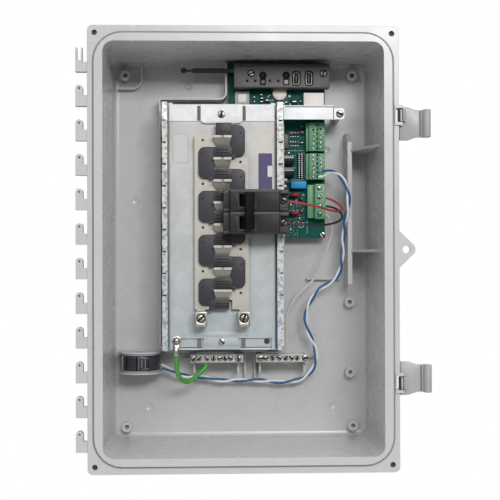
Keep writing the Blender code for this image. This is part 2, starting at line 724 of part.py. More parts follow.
def panel_pan():
    floor = block(PAN_FLOOR_X, (PAN_FLOOR_FRONT, PAN_FLOOR_FRONT + PAN_SHEET), (PAN_STEP_Z, PAN_FLAP_Z[1]))
    flap = block((-84.9, 38.1), (PAN_FLOOR_FRONT - 1.8, PAN_FLOOR_FRONT + 1), PAN_FLAP_Z)
    top_tab = prism(
        rounded((-48.0, 0.2), (147.4, PAN_FLAP_Z[1]), (5, 5, 0, 0)),
        (PAN_FLOOR_FRONT - 3.2, PAN_FLOOR_FRONT + 1),
    )
    step = block((-84.9, 38.1), (PAN_FLOOR_FRONT, -57.0), (PAN_STEP_Z - 1, PAN_STEP_Z + 0.5))
    foot = block((-84.9, 38.1), (-58.5, -57.0), (PAN_Z[0] + 0.6, PAN_STEP_Z))
    bottom_tab = prism(
        rounded((-47.0, -2.6), (PAN_Z[0] + 0.6, PAN_STEP_Z - 0.8), (0, 0, 6, 6)),
        (-61.0, -57.5),
    )
    ground_boss = cylinder(GROUND_SCREW, GROUND_BOSS_RADIUS, (PAN_FLOOR_FRONT, -57.5))
    join(floor, rail(-1), rail(1), flap, top_tab, step, foot, bottom_tab, ground_boss)
    slot_y = (PAN_FLOOR_FRONT - 4, PAN_FLOOR_FRONT + 3)
    openings = [
        block((-52.2, -48.6), slot_y, (150.8, 168.0)),
        block((0.8, 4.4), slot_y, (150.8, 168.0)),
        cylinder(TAB_SCREW_TOP, 2.1, (-70, -50), segments=10),
        cylinder(TAB_SCREW_BOTTOM, 2.1, (-70, -50), segments=10),
        cylinder(GROUND_SCREW, 2.1, (-70, -50), segments=10),
        cylinder((28.8, -107.2), 3.6, (-70, -50), segments=14),
    ]
    cut(floor, *openings, *rail_slots())
    return finish(floor, "panel_pan", GALVANISED)


def stab_height(index):
    return STAB_TOP - index * STAB_PITCH


def stab(index):
    """The tab, blade and sloping brace of one stab."""
    z = stab_height(index)
    middle = sum(STAB_X) / 2
    tab_x = (STAB_X[0] - 1, STAB_X[1]) if index % 2 == 0 else (STAB_X[0], STAB_X[1] + 1)
    tab = block(tab_x, BAR_Y, (z - 11.0, z + 1.4))
    blade = block(STAB_X, (STAB_FRONT, BAR_Y[0] + 1), centred(z, 1.4))
    brace = block((-1, 1), (-1, 1), (-1, 1))
    for vertex in brace.data.vertices:
        upper, front = vertex.co.z > 0, vertex.co.y < 0
        width = 10.4 if upper else 7.4
        vertex.co.x = (middle + (width if vertex.co.x > 0 else -width)) * MM
        vertex.co.y = ((STAB_FRONT + 1.4 if upper else BAR_Y[0] - 0.4) if front else BAR_Y[0] + 1) * MM
        vertex.co.z = (z - 0.6 if upper else z - 10.6) * MM
    return [tab, blade, brace]


def stab_notch(index):
    z = stab_height(index)
    middle = sum(STAB_X) / 2
    outline = [(middle - 2.6, STAB_FRONT - 1), (middle + 2.6, STAB_FRONT - 1), (middle, STAB_FRONT + 2)]
    return prism(outline, centred(z, 3), "Z")


def bus_bar(side):
    left = side == "left"
    first = 0 if left else 1
    strip_x = LEFT_BAR_X if left else RIGHT_BAR_X
    top = stab_height(first) + 2.6
    hole_x = -45.8 if left else -2.0
    lug_x = LUG_CENTRES[side]
    bar = block(strip_x, BAR_Y, (BUS_BOTTOM, top))
    tail = block(centred(lug_x, 4.8), BAR_Y, (LUG_Z[0] + 1, BUS_BOTTOM + 1))
    stabs = [index for index in range(first, STAB_COUNT, 2)]
    pieces = [piece for index in stabs for piece in stab(index)]
    join(bar, tail, *pieces)
    holes = [
        cylinder((hole_x, stab_height(index) - 3.1), 1.6, (-72, -60), segments=10) for index in stabs
    ]
    notches = [stab_notch(index) for index in stabs if index < STAB_COUNT - 1]
    return finish(cut(bar, *holes, *notches), f"bus_bar_{side}", TINNED)


def bus_insulator():
    """The serpentine moulding: crossings between the stabs, and lobes over the bars on alternate sides."""
    over_bars = (INSULATOR_FRONT, BAR_Y[0] - GAP)
    crossing_y = (INSULATOR_FRONT - 0.6, PAN_FLOOR_FRONT - GAP)
    top = stab_height(0) + 2.2
    body = block((-30.6, -12.7), crossing_y, (top, 147.2))
    pieces = [block((-30.6, -10.0), over_bars, (top, 147.2))]
    for index in range(STAB_COUNT):
        z = stab_height(index)
        last = index == STAB_COUNT - 1
        low, high = (z - 21.4 if last else z - 23.2), z - 11.3
        pieces.append(block((-32.9, -15.4 if last else -12.8), crossing_y, (low, high)))
        front_x = (-38.6, -15.4) if last else (-35.0, -11.0)
        pieces.append(block(front_x, over_bars, (low, high)))
        for ridge in range(3):
            ridge_z = high - 3.0 - ridge * 3.0
            pieces.append(block((-30.5, -15.9), (INSULATOR_FRONT - 1.5, INSULATOR_FRONT), centred(ridge_z, 0.6)))
        lobe_low = z - 17.2 if last else z - 22.6
        if index % 2 == 0:
            outline = rounded((-12.0, 3.2), (lobe_low, z + 14.0), (0, 7, 7, 0), 4)
            dimple = (-1.8, z + 5.0)
        else:
            outline = rounded((-50.8, -34.0), (lobe_low, z + 14.0), (7, 0, 0, 7), 4)
            dimple = (-46.0, z + 5.0)
        pieces.append(prism(outline, over_bars))
        pieces.append(cylinder(dimple, 1.3, (INSULATOR_FRONT - 1.0, INSULATOR_FRONT + 1), segments=8))
    join(body, *pieces)
    return finish(body, "bus_insulator", BLACK_PLASTIC)


def lug(side):
    x = LUG_CENTRES[side]
    body = block(centred(x, LUG_WIDTH / 2), LUG_Y, LUG_Z)
    middle_z = sum(LUG_Z) / 2
    wire_hole = cylinder((x, -75.0), 4.3, (LUG_Z[0] - 1, LUG_Z[1] + 1), "Z", 16)
    screw_hole = cylinder((x, middle_z + 1), 5.0, (LUG_Y[0] - 1, -78.0), segments=16)
    finish(cut(body, wire_hole, screw_hole), f"lug_{side}", ALUMINIUM)
    screw(f"lug_screw_{side}", (x, middle_z + 1), -84.4, head=4.6, height=1.0, shank=4.5, length=4.6)


def ring_terminal():
    x, z = GROUND_SCREW
    seat = PAN_FLOOR_FRONT - GAP
    barrel_centre = (x - 0.4, -64.8)
    ring = cylinder(GROUND_SCREW, 5.3, (seat - 1.0, seat), segments=20)
    neck = block(centred(x, 2.4), (seat - 3.4, seat), (z - 9.0, z - 4.8))
    barrel = cylinder(barrel_centre, 3.2, (z - 17.4, z - 7.6), "Z", 12)
    join(ring, neck, barrel)
    cut(ring, cylinder(GROUND_SCREW, 2.3, (seat - 1.5, seat + 1), segments=12))
    cut(ring, cylinder(barrel_centre, 2.3, (z - 18, z - 12), "Z", 10))
    return finish(ring, "ring_terminal", TINNED_COPPER)


# ---------------------------------------------------------------- the breaker


def breaker_pole(which):
    z = POLE_CENTRES[which]
    outline = [
        (-22.6, -76.2), (-22.6, -96.0), (-21.6, -97.0), (-15.0, -97.0), (-15.0, -108.0), (-14.0, BREAKER_FRONT),
        (40.4, BREAKER_FRONT), (41.4, -108.0), (41.4, -99.0), (51.2, -99.0), (52.1, -98.0), (52.1, -70.5),
        (39.0, -70.5), (39.0, -76.2),
    ]
    body = prism(outline, centred(z, POLE_HALF), "Z")
    stab_z = z - 1.2
    hub = HANDLE_AXIS
    cutters = [
        block((-24, -11.6), (-84, -75), (stab_z - 12.0, stab_z + 3.0)),
        cylinder(hub, HUB_RADIUS + 0.5, centred(z, 7.2), "Z", 20),
        block(centred(hub[0], 8.5), (-112, hub[1]), centred(z, 7.2)),
        block((42.8, 54), (-101, -92), centred(z, 8.0)),
        cylinder((-86.5, z), 2.3, (44, 54), "X", 12),
        cylinder((TERMINAL_SCREW_X, z), 1.9, (-93, -84), segments=10),
        block((-12.6, 38.8), (BREAKER_FRONT - 1, BREAKER_FRONT + 0.8), (z - POLE_HALF - 1, z - POLE_HALF + 2.0)),
    ]
    cut(body, *cutters)
    finish(body, f"breaker_pole_{which}", BLACK_PLASTIC)
    screw(
        f"breaker_screw_{which}", (TERMINAL_SCREW_X, z), -92.3,
        head=3.4, height=2.0, shank=1.6, length=3.0,
    )


def breaker_handle():
    """Both poles' toggles, tied by one bar, turning together on a vertical axis."""
    x, y = HANDLE_AXIS
    middle = sum(POLE_CENTRES.values()) / 2
    bar = block(centred(x, 5.1), (y - 19.0, y - 13.4), centred(middle, 20.8))
    pieces = []
    for z in POLE_CENTRES.values():
        pieces.append(cylinder(HANDLE_AXIS, HUB_RADIUS, centred(z, 6.6), "Z", 20))
        pieces.append(block(centred(x, 3.0), (y - 14.0, y), centred(z, 6.2)))
    join(bar, *pieces)
    turn_about(bar, HANDLE_AXIS, HANDLE_REST)
    finish(bar, "breaker_handle", BLACK_PLASTIC)
    return set_origin(bar, (x, y, middle))


# ---------------------------------------------------------------- the circuit board


def circuit_board():
    board = block(BOARD_X, BOARD_Y, BOARD_Z)
    places = (BOARD_SCREW, *COVER_SCREWS.values())
    return finish(
        cut(board, *[cylinder(place, 2.1, (-30, -20), segments=10) for place in places]),
        "circuit_board",
        BOARD_GREEN,
    )


def cover_shell():
    """The board cover's hollow housing, open at the back, with its sloping top."""
    slope = (COVER_Z[1] + 6.0, COVER_FRONT + 10.0)
    outer = [
        (COVER_BACK, COVER_Z[0]), (COVER_FRONT + 0.8, COVER_Z[0]), (COVER_FRONT, COVER_Z[0] + 0.8),
        (COVER_FRONT, COVER_Z[1]), (slope[1], slope[0]), (COVER_BACK, slope[0]),
    ]
    inner = [
        (COVER_BACK + 1, COVER_Z[0] + COVER_WALL), (COVER_FRONT + COVER_WALL, COVER_Z[0] + COVER_WALL),
        (COVER_FRONT + COVER_WALL, COVER_Z[1] - 1.0), (slope[1] + 1.6, slope[0] - COVER_WALL),
        (COVER_BACK + 1, slope[0] - COVER_WALL),
    ]
    shell = prism(outer, COVER_X, "X")
    return cut(shell, prism(inner, (COVER_X[0] + COVER_WALL, COVER_X[1] - COVER_WALL), "X"))


def cover_arm():
    """The slender arm at the cover's left, with a neck and a ball end."""
    y, z = -41.5, 213.0
    return [
        cylinder((y, z), 2.9, (-57.0, COVER_X[0] + 1), "X", 12),
        cylinder((y, z), 1.3, (-59.0, -57.0), "X", 12, end_radius=2.9),
        cylinder((y, z), 1.3, (-67.0, -58.0), "X", 12),
        turned([(0, 3.5), (1.7, 3.1), (3.0, 1.8), (3.5, 0), (3.0, -1.8), (1.7, -3.1), (0, -3.5)],
               (y, z), -68.6, "X"),
    ]


def board_cover():
    cover = cover_shell()
    legs = [
        cylinder(place, 5.0, (BOARD_Y[0] - 4.0, COVER_FRONT + 1), segments=16)
        for place in COVER_SCREWS.values()
    ]
    feet = [cylinder(place, 3.6, (COVER_BACK - 1, BOARD_Y[0] - GAP)) for place in COVER_SCREWS.values()]
    join(cover, *legs, *feet, *cover_arm())
    face = (COVER_FRONT - 1, COVER_FRONT + 3)
    openings = []
    for place in COVER_SCREWS.values():
        openings.append(cylinder(place, 4.0, (COVER_FRONT - 1, COVER_FRONT + 3.0), segments=16))
        openings.append(cylinder(place, 2.1, (COVER_FRONT - 1, -20), segments=10))
    for x, z in BUTTONS.values():
        openings.append(cylinder((x, z), BUTTON_RADIUS + 0.5, face, segments=16))
        openings.append(block(centred(x, 2.9), face, (z - 11.0, z - 2.0)))
    for x, z in USB_PORTS.values():
        openings.append(prism(rounded(centred(x, 4.3), centred(z, 8.2), [1.8] * 4, 3), face))
    for x in (6.8, 16.4, 33.6, 43.5):
        openings.append(cylinder((x, 200.4), 1.5, face, segments=10))
    return finish(cut(cover, *openings), "board_cover", COVER_PLASTIC)


def board_buttons():
    for side, (x, z) in BUTTONS.items():
        profile = (
            (0, 9.2), (BUTTON_RADIUS - 0.6, 9.2), (BUTTON_RADIUS, 8.6), (BUTTON_RADIUS, 6.3),
            (4.4, 6.3), (4.4, 5.2), (1.6, 5.2), (1.6, 0), (0, 0),
        )
        button = finish(turned(profile, (x, z), -37.6, steps=16), f"button_{side}", BLACK_PLASTIC)
        set_origin(button, (x, -37.6, z))
        guide = block(centred(x, 2.4), (-45.4, BOARD_Y[0] - GAP), (z - 10.4, z - 5.2))
        finish(guide, f"light_guide_{side}", WHITE_PLASTIC)


def usb_ports():
    for side, (x, z) in USB_PORTS.items():
        can = block(centred(x, 3.5), (COVER_FRONT + 0.4, BOARD_Y[0] - GAP), centred(z, 7.2))
        cavity = block(centred(x, 2.7), (COVER_FRONT - 1, COVER_FRONT + 12.0), centred(z, 6.4))
        finish(cut(can, cavity), f"usb_port_{side}", BRIGHT_STEEL)


def board_parts():
    """The larger components on the board."""
    face = BOARD_Y[0] - GAP
    simple = {
        "shielded_module": ((-7.3, 10.0), (-28.0, face), (174.0, 190.6), WHITE_PLASTIC),
        "relay_block": ((74.6, 98.8), (-38.0, face), (160.0, 187.6), WHITE_PLASTIC),
        "film_capacitor": ((59.4, 77.8), (-36.0, face), (73.4, 82.2), BLUE_PLASTIC),
        "pin_header": ((68.0, 74.0), (-27.0, face), (86.4, 115.8), BLACK_PLASTIC),
        "signal_relay_upper": ((45.0, 63.2), (-33.0, face), (102.4, 111.6), BLACK_PLASTIC),
        "signal_relay_lower": ((45.0, 63.2), (-33.0, face), (87.4, 96.6), BLACK_PLASTIC),
        "power_terminals": ((84.0, 99.8), (-42.0, face), (37.0, 78.4), TERMINAL_GREEN),
    }
    for name, (x, y, z, finish_material) in simple.items():
        finish(block(x, y, z), name, finish_material)
    finish(cylinder((46.4, 188.4), 8.6, (-30.0, face), segments=24), "coin_cell", BRIGHT_STEEL)
    for name, z in (("upper", (66.0, 4.2)), ("lower", (44.4, 4.2))):
        disc = cylinder((64.0, -33.0), 6.4, centred(z[0], z[1] / 2), "Z", 18)
        legs = [block(centred(64.0 + side * 2.5, 0.5), (-30, face), centred(z[0], 0.5)) for side in (-1, 1)]
        finish(join(disc, *legs), f"varistor_{name}", RED_COATING)
    for name, z in (("upper", (117.8, 151.4)), ("lower", (84.0, 115.0))):
        tiers = block((77.3, 90.9), (-42.0, face), z)
        join(tiers, block((90.0, 99.8), (-35.0, face), z))
        finish(tiers, f"signal_terminals_{name}", TERMINAL_GREEN)


def board_strap():
    """The bracket across the board, from the pan's rail to a post on the right."""
    front = -60.0
    profile = [(front, 152.8), (front, 166.4), (front + 5.5, 166.4), (front + 5.5, 170.2)]
    strap = sheet(profile, (49.0, 108.6), "X", 1.4)
    joggle = block((107.6, 109.6), (front - 0.7, -56.2), (152.8, 166.4))
    tab = prism(rounded((108.4, 121.0), (153.4, 166.4), (0, 2.5, 2.5, 0), 4), (-57.6, -56.2))
    join(strap, joggle, tab)
    cut(strap, cylinder((115.5, 159.8), 2.1, (-60, -50), segments=10))
    finish(strap, "board_strap", GALVANISED)


# ---------------------------------------------------------------- bars, transformer, wires


def terminal_bars():
    for name, x, clamps in (
        ("ground_bar", GROUND_BAR_X, GROUND_BAR_CLAMPS),
        ("neutral_bar", NEUTRAL_BAR_X, NEUTRAL_BAR_CLAMPS),
    ):
        bar = block(x, BAR_BLOCK_Y, BAR_BLOCK_Z)
        holes = [
            cylinder((place, -36.2), 1.9, (BAR_BLOCK_Z[0] - 1, BAR_BLOCK_Z[1] + 1), "Z", 8)
            for place in clamps
        ]
        holes += [
            cylinder((place, BAR_SCREW_Z), 2.1, (-42, -30), segments=10)
            for place in BAR_SCREWS.values()
            if x[0] < place < x[1]
        ]
        finish(cut(bar, *holes), name, TINNED)
    for name, place in BAR_SCREWS.items():
        screw(f"bar_screw_{name}", (place, BAR_SCREW_Z), BAR_BLOCK_Y[0] - GAP, head=3.3, length=19.0)


def current_transformer():
    half = (CT_Z[1] - CT_Z[0]) / 2
    middle = sum(CT_Z) / 2
    profile = [
        (CT_HOLE_RADIUS + 1, half), (CT_RADIUS - 1.5, half), (CT_RADIUS, half - 1.5), (CT_RADIUS, 1.5 - half),
        (CT_RADIUS - 1.5, -half), (CT_HOLE_RADIUS + 1, -half), (CT_HOLE_RADIUS, 1 - half),
        (CT_HOLE_RADIUS, half - 1), (CT_HOLE_RADIUS + 1, half),
    ]
    ring = turned(profile, CT_CENTRE, middle, "Z", 30)
    finish(ring, "current_transformer", BLACK_PLASTIC)


def smooth_line(route, spacing):
    """Points about spacing apart on a smooth curve through the route's points."""
    points = [Vector(point) for point in route]
    points = [2 * points[0] - points[1], *points, 2 * points[-1] - points[-2]]
    dense = []
    for before, start, end, after in zip(points, points[1:], points[2:], points[3:]):
        for step in range(16):
            t = step / 16
            dense.append(
                0.5 * (
                    2 * start
                    + (end - before) * t
                    + (2 * before - 5 * start + 4 * end - after) * t**2
                    + (3 * start - before - 3 * end + after) * t**3
                )
            )
    dense.append(points[-2])
    return evenly_spaced(dense, spacing)


def evenly_spaced(line, spacing):
    lengths = [0.0]
    for start, end in zip(line, line[1:]):
        lengths.append(lengths[-1] + (end - start).length)
    count = max(2, round(lengths[-1] / spacing))
    result = []
    index = 0
    for step in range(count + 1):
        wanted = lengths[-1] * step / count
        while index < len(lengths) - 2 and lengths[index + 1] < wanted:
            index += 1
        share = (wanted - lengths[index]) / (lengths[index + 1] - lengths[index])
        result.append(line[index].lerp(line[index + 1], min(share, 1.0)))
    return result


def twisted(route, phase):
    """One strand of a pair twisted round a route."""
    line = smooth_line(route, 3.0)
    strand = []
    for index, point in enumerate(line):
        ahead = line[min(index + 1, len(line) - 1)] - line[max(index - 1, 0)]
        side = ahead.cross(Vector((0, 1, 0))).normalized()
        depth = side.cross(ahead).normalized()
        angle = phase + tau * index * 3.0 / TWIST_PITCH
        strand.append(point + TWIST_RADIUS * (cos(angle) * side + sin(angle) * depth))
    return strand


def wire(name, line, diameter, colour):
    curve = bpy.data.curves.new(name, "CURVE")
    curve.dimensions = "3D"
    curve.bevel_depth = diameter / 2 * MM
    curve.bevel_resolution = 2
    curve.use_fill_caps = True
    spline = curve.splines.new("POLY")
    spline.points.add(len(line) - 1)
    for point, place in zip(spline.points, line):
        point.co = (*(Vector(place) * MM), 1)
    curve.materials.append(INSULATION[colour])
    PARTS.objects.link(bpy.data.objects.new(name, curve))


def wires():
    for colour, phase in (("blue", 0.0), ("white", pi)):
        strand = twisted(PAIR_ROUTE, phase)
        route = [PAIR_STARTS[colour], PAIR_MIDS[colour], *strand[::2], PAIR_ENDS[colour]]
        wire(f"ct_wire_{colour}", smooth_line(route, 6.8), LEAD_DIAMETER, colour)
    wire("wire_red", smooth_line(RED_ROUTE, 5.0), SUPPLY_DIAMETER, "red")
    wire("wire_black", smooth_line(BLACK_ROUTE, 5.0), SUPPLY_DIAMETER, "black")
    wire("wire_neutral", smooth_line(NEUTRAL_ROUTE, 5.5), NEUTRAL_DIAMETER, "neutral")
    wire("ground_wire", smooth_line(GREEN_ROUTE, 5.0), GROUND_DIAMETER, "green")


def fasteners():
    tab_front = PAN_FLOOR_FRONT - 3.2 - GAP
    screw("pan_screw_top", TAB_SCREW_TOP, tab_front, head=3.9, length=13.0)
    screw("pan_screw_bottom", TAB_SCREW_BOTTOM, -61.0 - GAP, head=3.7, length=12.0)
    screw("ground_screw", GROUND_SCREW, PAN_FLOOR_FRONT - 2 * GAP - 1.0, head=4.4, height=3.8, length=8.0)
    for side, place in COVER_SCREWS.items():
        screw(f"cover_screw_{side}", place, COVER_FRONT + 3.0 - GAP, head=3.3, height=2.2, length=30.0)
    screw("board_screw", BOARD_SCREW, BOARD_Y[0] - GAP, head=3.4, length=10.0)
    screw("strap_screw", (115.5, 159.8), -57.6 - GAP, head=4.0, length=10.0)


def build():
    enclosure_base()
    for name, (slot_z, plate_z) in LATCHES.items():
        latch(name, slot_z, plate_z)
    panel_pan()
    bus_bar("left")
    bus_bar("right")
    bus_insulator()
    lug("left")
    lug("right")
    ring_terminal()
    breaker_pole("upper")
    breaker_pole("lower")
    breaker_handle()
    circuit_board()
    board_cover()
    board_buttons()
    usb_ports()
    board_parts()
    board_strap()
    terminal_bars()
    current_transformer()
    fasteners()
    wires()


build()
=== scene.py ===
"""Looks for the subpanel enclosure: materials, fine parts, wires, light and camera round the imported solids.

Shapes are given in millimetres through the helpers below, and the scene is in metres. +X is right, -Y is the
front and +Z is up.
"""

import json
from math import asin, cos, degrees, pi, radians, sin, sqrt, tau
from random import Random

import bmesh
import bpy
from mathutils import Matrix, Vector


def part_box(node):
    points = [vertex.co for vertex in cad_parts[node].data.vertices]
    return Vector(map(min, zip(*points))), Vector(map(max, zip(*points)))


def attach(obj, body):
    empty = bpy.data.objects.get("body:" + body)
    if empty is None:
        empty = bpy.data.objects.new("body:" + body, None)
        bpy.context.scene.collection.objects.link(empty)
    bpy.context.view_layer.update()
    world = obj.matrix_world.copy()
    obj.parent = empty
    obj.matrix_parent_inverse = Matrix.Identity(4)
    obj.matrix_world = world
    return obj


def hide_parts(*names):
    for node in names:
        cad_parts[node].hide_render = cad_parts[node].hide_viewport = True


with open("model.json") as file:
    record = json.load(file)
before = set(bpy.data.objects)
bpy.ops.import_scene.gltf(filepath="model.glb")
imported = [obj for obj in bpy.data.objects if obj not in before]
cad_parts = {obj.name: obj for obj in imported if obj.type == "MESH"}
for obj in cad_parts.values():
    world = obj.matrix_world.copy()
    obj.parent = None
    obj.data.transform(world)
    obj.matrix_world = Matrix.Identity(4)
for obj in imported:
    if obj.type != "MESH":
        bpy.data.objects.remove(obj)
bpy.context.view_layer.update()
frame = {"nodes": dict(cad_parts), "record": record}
NODES = frame["nodes"]
SLOTS = {entry["node"]: entry["material_slot"] for entry in frame["record"]["subparts"]}
MM = 0.001
FIXED = "enclosure"
SIDES = ("left", "right")

# Levels and pitches shared with the solids
FLANGE_FACE = -134.0
CORNER_HOLES = (164.5, 239.2)
HOLE_END = -129.6
LATCH_FACE = -128.8
PAN_FACE = -61.5
PAN_FOOT_FACE = -58.5
COVER_FACE = -46.0
BOARD_FACE = -24.0
BACK_FACE = -4.0
STAB_TOP = 130.6
STAB_PITCH = 25.4
STAB_COUNT = 8
TERMINAL_ROWS = 6
PIN_PITCH = 2.54
GROUND_BAR_CLAMPS = (-50.8, -41.8, -34.0, -26.5, -20.2, -13.9)
NEUTRAL_BAR_CLAMPS = (28.5, 36.1, 44.2, 51.9, 58.9, 65.6)

# Which way each screw's slot is turned, in degrees
CLAMP_TURNS = (55, 130, 80, 20, 105, 150)
SCREW_TURNS = (25, 75, 130, 160, 50, 100, 10)
SCREWS = (
    "cover_screw_left", "cover_screw_right", "board_screw", "strap_screw", "bar_screw_ground_left",
    "bar_screw_ground_right", "bar_screw_neutral_left", "bar_screw_neutral_right", "pan_screw_top",
    "pan_screw_bottom", "breaker_screw_upper", "breaker_screw_lower",
)

# Camera, solved for the view straight into the open box
CAMERA_PLACE = (-36.8, -1355.5, -10.0)
CAMERA_TURN = (0.43, 0.16, -2.03)
CAMERA_LENS = 79.7

# Brightness of the room by height: 0 is straight down, 0.5 is level and 1 is straight up
ROOM_TONES = ((0.3, 0.05), (0.5, 0.12), (1.0, 1.0))

# Painted light and shade on the pan by height, from its foot, at 0, to its top, at 1: painted shade, darker
# and cooler towards the foot, and painted light that makes the top flap near white
PAN_PAINTED_TONES = (
    (0.0, (0.60, 0.66, 0.69)), (0.86, (0.72, 0.71, 0.68)), (0.896, (0.72, 0.71, 0.68)),
    (0.90, (0.97, 0.98, 0.98)), (1.0, (1.0, 1.0, 1.0)),
)
ZINC_ROUGHNESS = 0.6
ZINC_METALLIC = 0.5

# Wires: diameters and routes, as in the solids
LEAD_DIAMETER = 2.6
TWIST_RADIUS = 1.55
TWIST_PITCH = 46.0
SUPPLY_DIAMETER = 2.6
NEUTRAL_DIAMETER = 2.2
GROUND_DIAMETER = 5.6
PAIR_ROUTE = (
    (104.5, -42, 92.9), (113.6, -47, 90.2), (121.4, -50, 80.5), (125.4, -51.5, 68.5), (126.4, -51.5, 57.5),
    (125.4, -50.5, 48), (124, -48.2, 40.5), (122.6, -43, 31), (122, -39, 20), (121.2, -36, 6),
    (120.2, -35, -10), (118.6, -34, -22.5), (113, -33, -34), (103, -32, -41.5), (92, -32, -47.8),
    (84, -31, -59), (78.2, -30, -72), (77, -28, -86), (80.2, -26, -99), (85.8, -25, -110.5),
    (89.3, -24, -123), (88.6, -23, -137), (81.8, -22, -149), (69, -21, -156.8), (49, -20, -159.4),
    (28, -20, -157.6), (8, -20, -157), (-10, -20, -157), (-28, -20, -156.6), (-45, -20, -153),
    (-62, -21, -151.8), (-76, -24, -148.6), (-84.5, -27, -143),
)
PAIR_STARTS = {"blue": (91.8, -38.2, 91.6), "white": (91.6, -38.2, 86.9)}
PAIR_MIDS = {"blue": (96.6, -38.6, 93.6), "white": (97.6, -39.4, 87.6)}
PAIR_ENDS = {"blue": (-96.0, -29.0, -140.8), "white": (-96.0, -29.0, -136.0)}
RED_ROUTE = (
    (48.5, -86.5, 55.6), (56, -86.5, 55), (66, -85, 53.4), (77, -82, 51.4), (88, -78, 49.3),
    (98.5, -72, 46.8), (107, -64.5, 45.2), (113.6, -57.5, 45), (118, -51.5, 47.4), (118, -46.5, 51.2),
    (113.8, -43, 55.4), (107.4, -38.8, 59.6), (100.9, -36.8, 62),
)
BLACK_ROUTE = (
    (48.5, -86.5, 30.2), (57, -86.5, 29.4), (70, -85.5, 28.6), (84, -81, 28.2), (96, -75, 28.8),
    (107, -67.5, 30.8), (115, -60, 34.2), (118.4, -54, 38.6), (117.2, -49.4, 43.4), (112.8, -44.6, 48),
    (107, -39.4, 50.9), (100.9, -36.8, 52.2),
)
NEUTRAL_ROUTE = (
    (100.9, -35.5, 42.0), (105.6, -34.5, 37.4), (108.6, -33.6, 28), (107.4, -32.6, 16), (103.2, -31.6, 4),
    (97.6, -31, -9), (90.4, -30.6, -29), (83.2, -31, -38.8), (71, -33.5, -49.8), (61, -36, -61),
    (55.2, -37.5, -72.4), (53, -38, -84), (53.2, -38, -98), (52.6, -37.6, -111), (52, -36.4, -123.4),
)
GREEN_ROUTE = (
    (-77.2, -64.8, -123.6), (-77.2, -64.6, -130), (-76, -62, -143), (-71.4, -56.4, -151.4),
    (-65.2, -50, -155), (-58, -44.6, -152.6), (-50.6, -40.4, -146), (-43.6, -37.2, -139.6),
    (-42.2, -36.4, -135.2),
)


# ---------------------------------------------------------------- shader helpers


def add_node(tree, kind, inputs, **settings):
    """A shader node with its settings; each input is linked to a socket or set to a value."""
    made = tree.nodes.new(f"ShaderNode{kind}")
    for name, value in settings.items():
        setattr(made, name, value)
    for name, value in inputs.items():
        if isinstance(value, bpy.types.NodeSocket):
            tree.links.new(value, made.inputs[name])
        else:
            made.inputs[name].default_value = value
    return made


def noise(tree, vector, scale, detail):
    return add_node(tree, "TexNoise", {"Vector": vector, "Scale": scale, "Detail": detail}).outputs["Fac"]


def times(tree, colour, factor):
    """Multiplies a colour socket by another or by a grey socket."""
    inputs = {"Factor": 1.0, "A": colour, "B": factor}
    return add_node(tree, "Mix", inputs, data_type="RGBA", blend_type="MULTIPLY").outputs["Result"]


def spread_over(tree, value, start, end, low, high):
    """Maps a value from start...end to low...high, held at both ends."""
    inputs = {"Value": value, "From Min": start, "From Max": end, "To Min": low, "To Max": high}
    return add_node(tree, "MapRange", inputs).outputs["Result"]


def set_stops(ramp, stops):
    """Sets a colour ramp's stops, each a place and a colour, from first to last."""
    for stop, (place, tint) in zip(ramp.elements, (stops[0], stops[-1])):
        stop.position = place
        stop.color = (*tint, 1)
    for place, tint in stops[1:-1]:
        ramp.elements.new(place).color = (*tint, 1)


# ---------------------------------------------------------------- camera and light


def make_camera():
    data = bpy.data.cameras.new("camera")
    data.lens = CAMERA_LENS
    data.sensor_width = 36
    camera = bpy.data.objects.new("camera", data)
    turn_x, turn_y, turn_z = (radians(angle) for angle in CAMERA_TURN)
    camera.matrix_world = (
        Matrix.Translation(Vector(CAMERA_PLACE) * MM)
        @ Matrix.Rotation(turn_z, 4, "Z")
        @ Matrix.Rotation(turn_x, 4, "X")
        @ Matrix.Rotation(turn_y, 4, "Y")
        @ Matrix.Rotation(pi / 2, 4, "X")
    )
    bpy.context.scene.collection.objects.link(camera)
    bpy.context.scene.camera = camera


def area_light(name, place, aim, size, power):
    data = bpy.data.lights.new(name, "AREA")
    data.shape = "RECTANGLE"
    data.size, data.size_y = size
    data.energy = power
    light = bpy.data.objects.new(name, data)
    light.location = Vector(place)
    light.rotation_euler = (Vector(aim) - Vector(place)).to_track_quat("-Z", "Y").to_euler()
    bpy.context.scene.collection.objects.link(light)


def make_light():
    """A softbox above the camera, two fills and a room lit from above; the camera sees a white backdrop."""
    world = bpy.data.worlds.new("studio")
    world.use_nodes = True
    tree = world.node_tree
    direction = tree.nodes.new("ShaderNodeTexCoord").outputs["Generated"]
    height = add_node(tree, "SeparateXYZ", {"Vector": direction}).outputs["Z"]
    ramp = add_node(tree, "ValToRGB", {"Fac": spread_over(tree, height, -1, 1, 0, 1)})
    set_stops(ramp.color_ramp, [(place, (tone, tone, min(1, tone * 1.02))) for place, tone in ROOM_TONES])
    room = tree.nodes["Background"]
    tree.links.new(ramp.outputs["Color"], room.inputs["Color"])
    backdrop = add_node(tree, "Background", {"Color": (1, 1, 1, 1)})
    ray = tree.nodes.new("ShaderNodeLightPath").outputs["Is Camera Ray"]
    shaders = {"Fac": ray, 1: room.outputs["Background"], 2: backdrop.outputs["Background"]}
    choice = add_node(tree, "MixShader", shaders)
    tree.links.new(choice.outputs["Shader"], tree.nodes["World Output"].inputs["Surface"])
    bpy.context.scene.world = world
    area_light("softbox", (0.45, -2.1, 0.76), (0, -0.1, 0), (1.0, 0.42), 25)
    area_light("rear_fill", (1.4, 1.8, 1.5), (0, 0, 0), (0.9, 0.9), 14)
    area_light("side_fill", (-0.9, -1.9, 0.4), (0, -0.1, 0), (0.5, 0.5), 3.5)


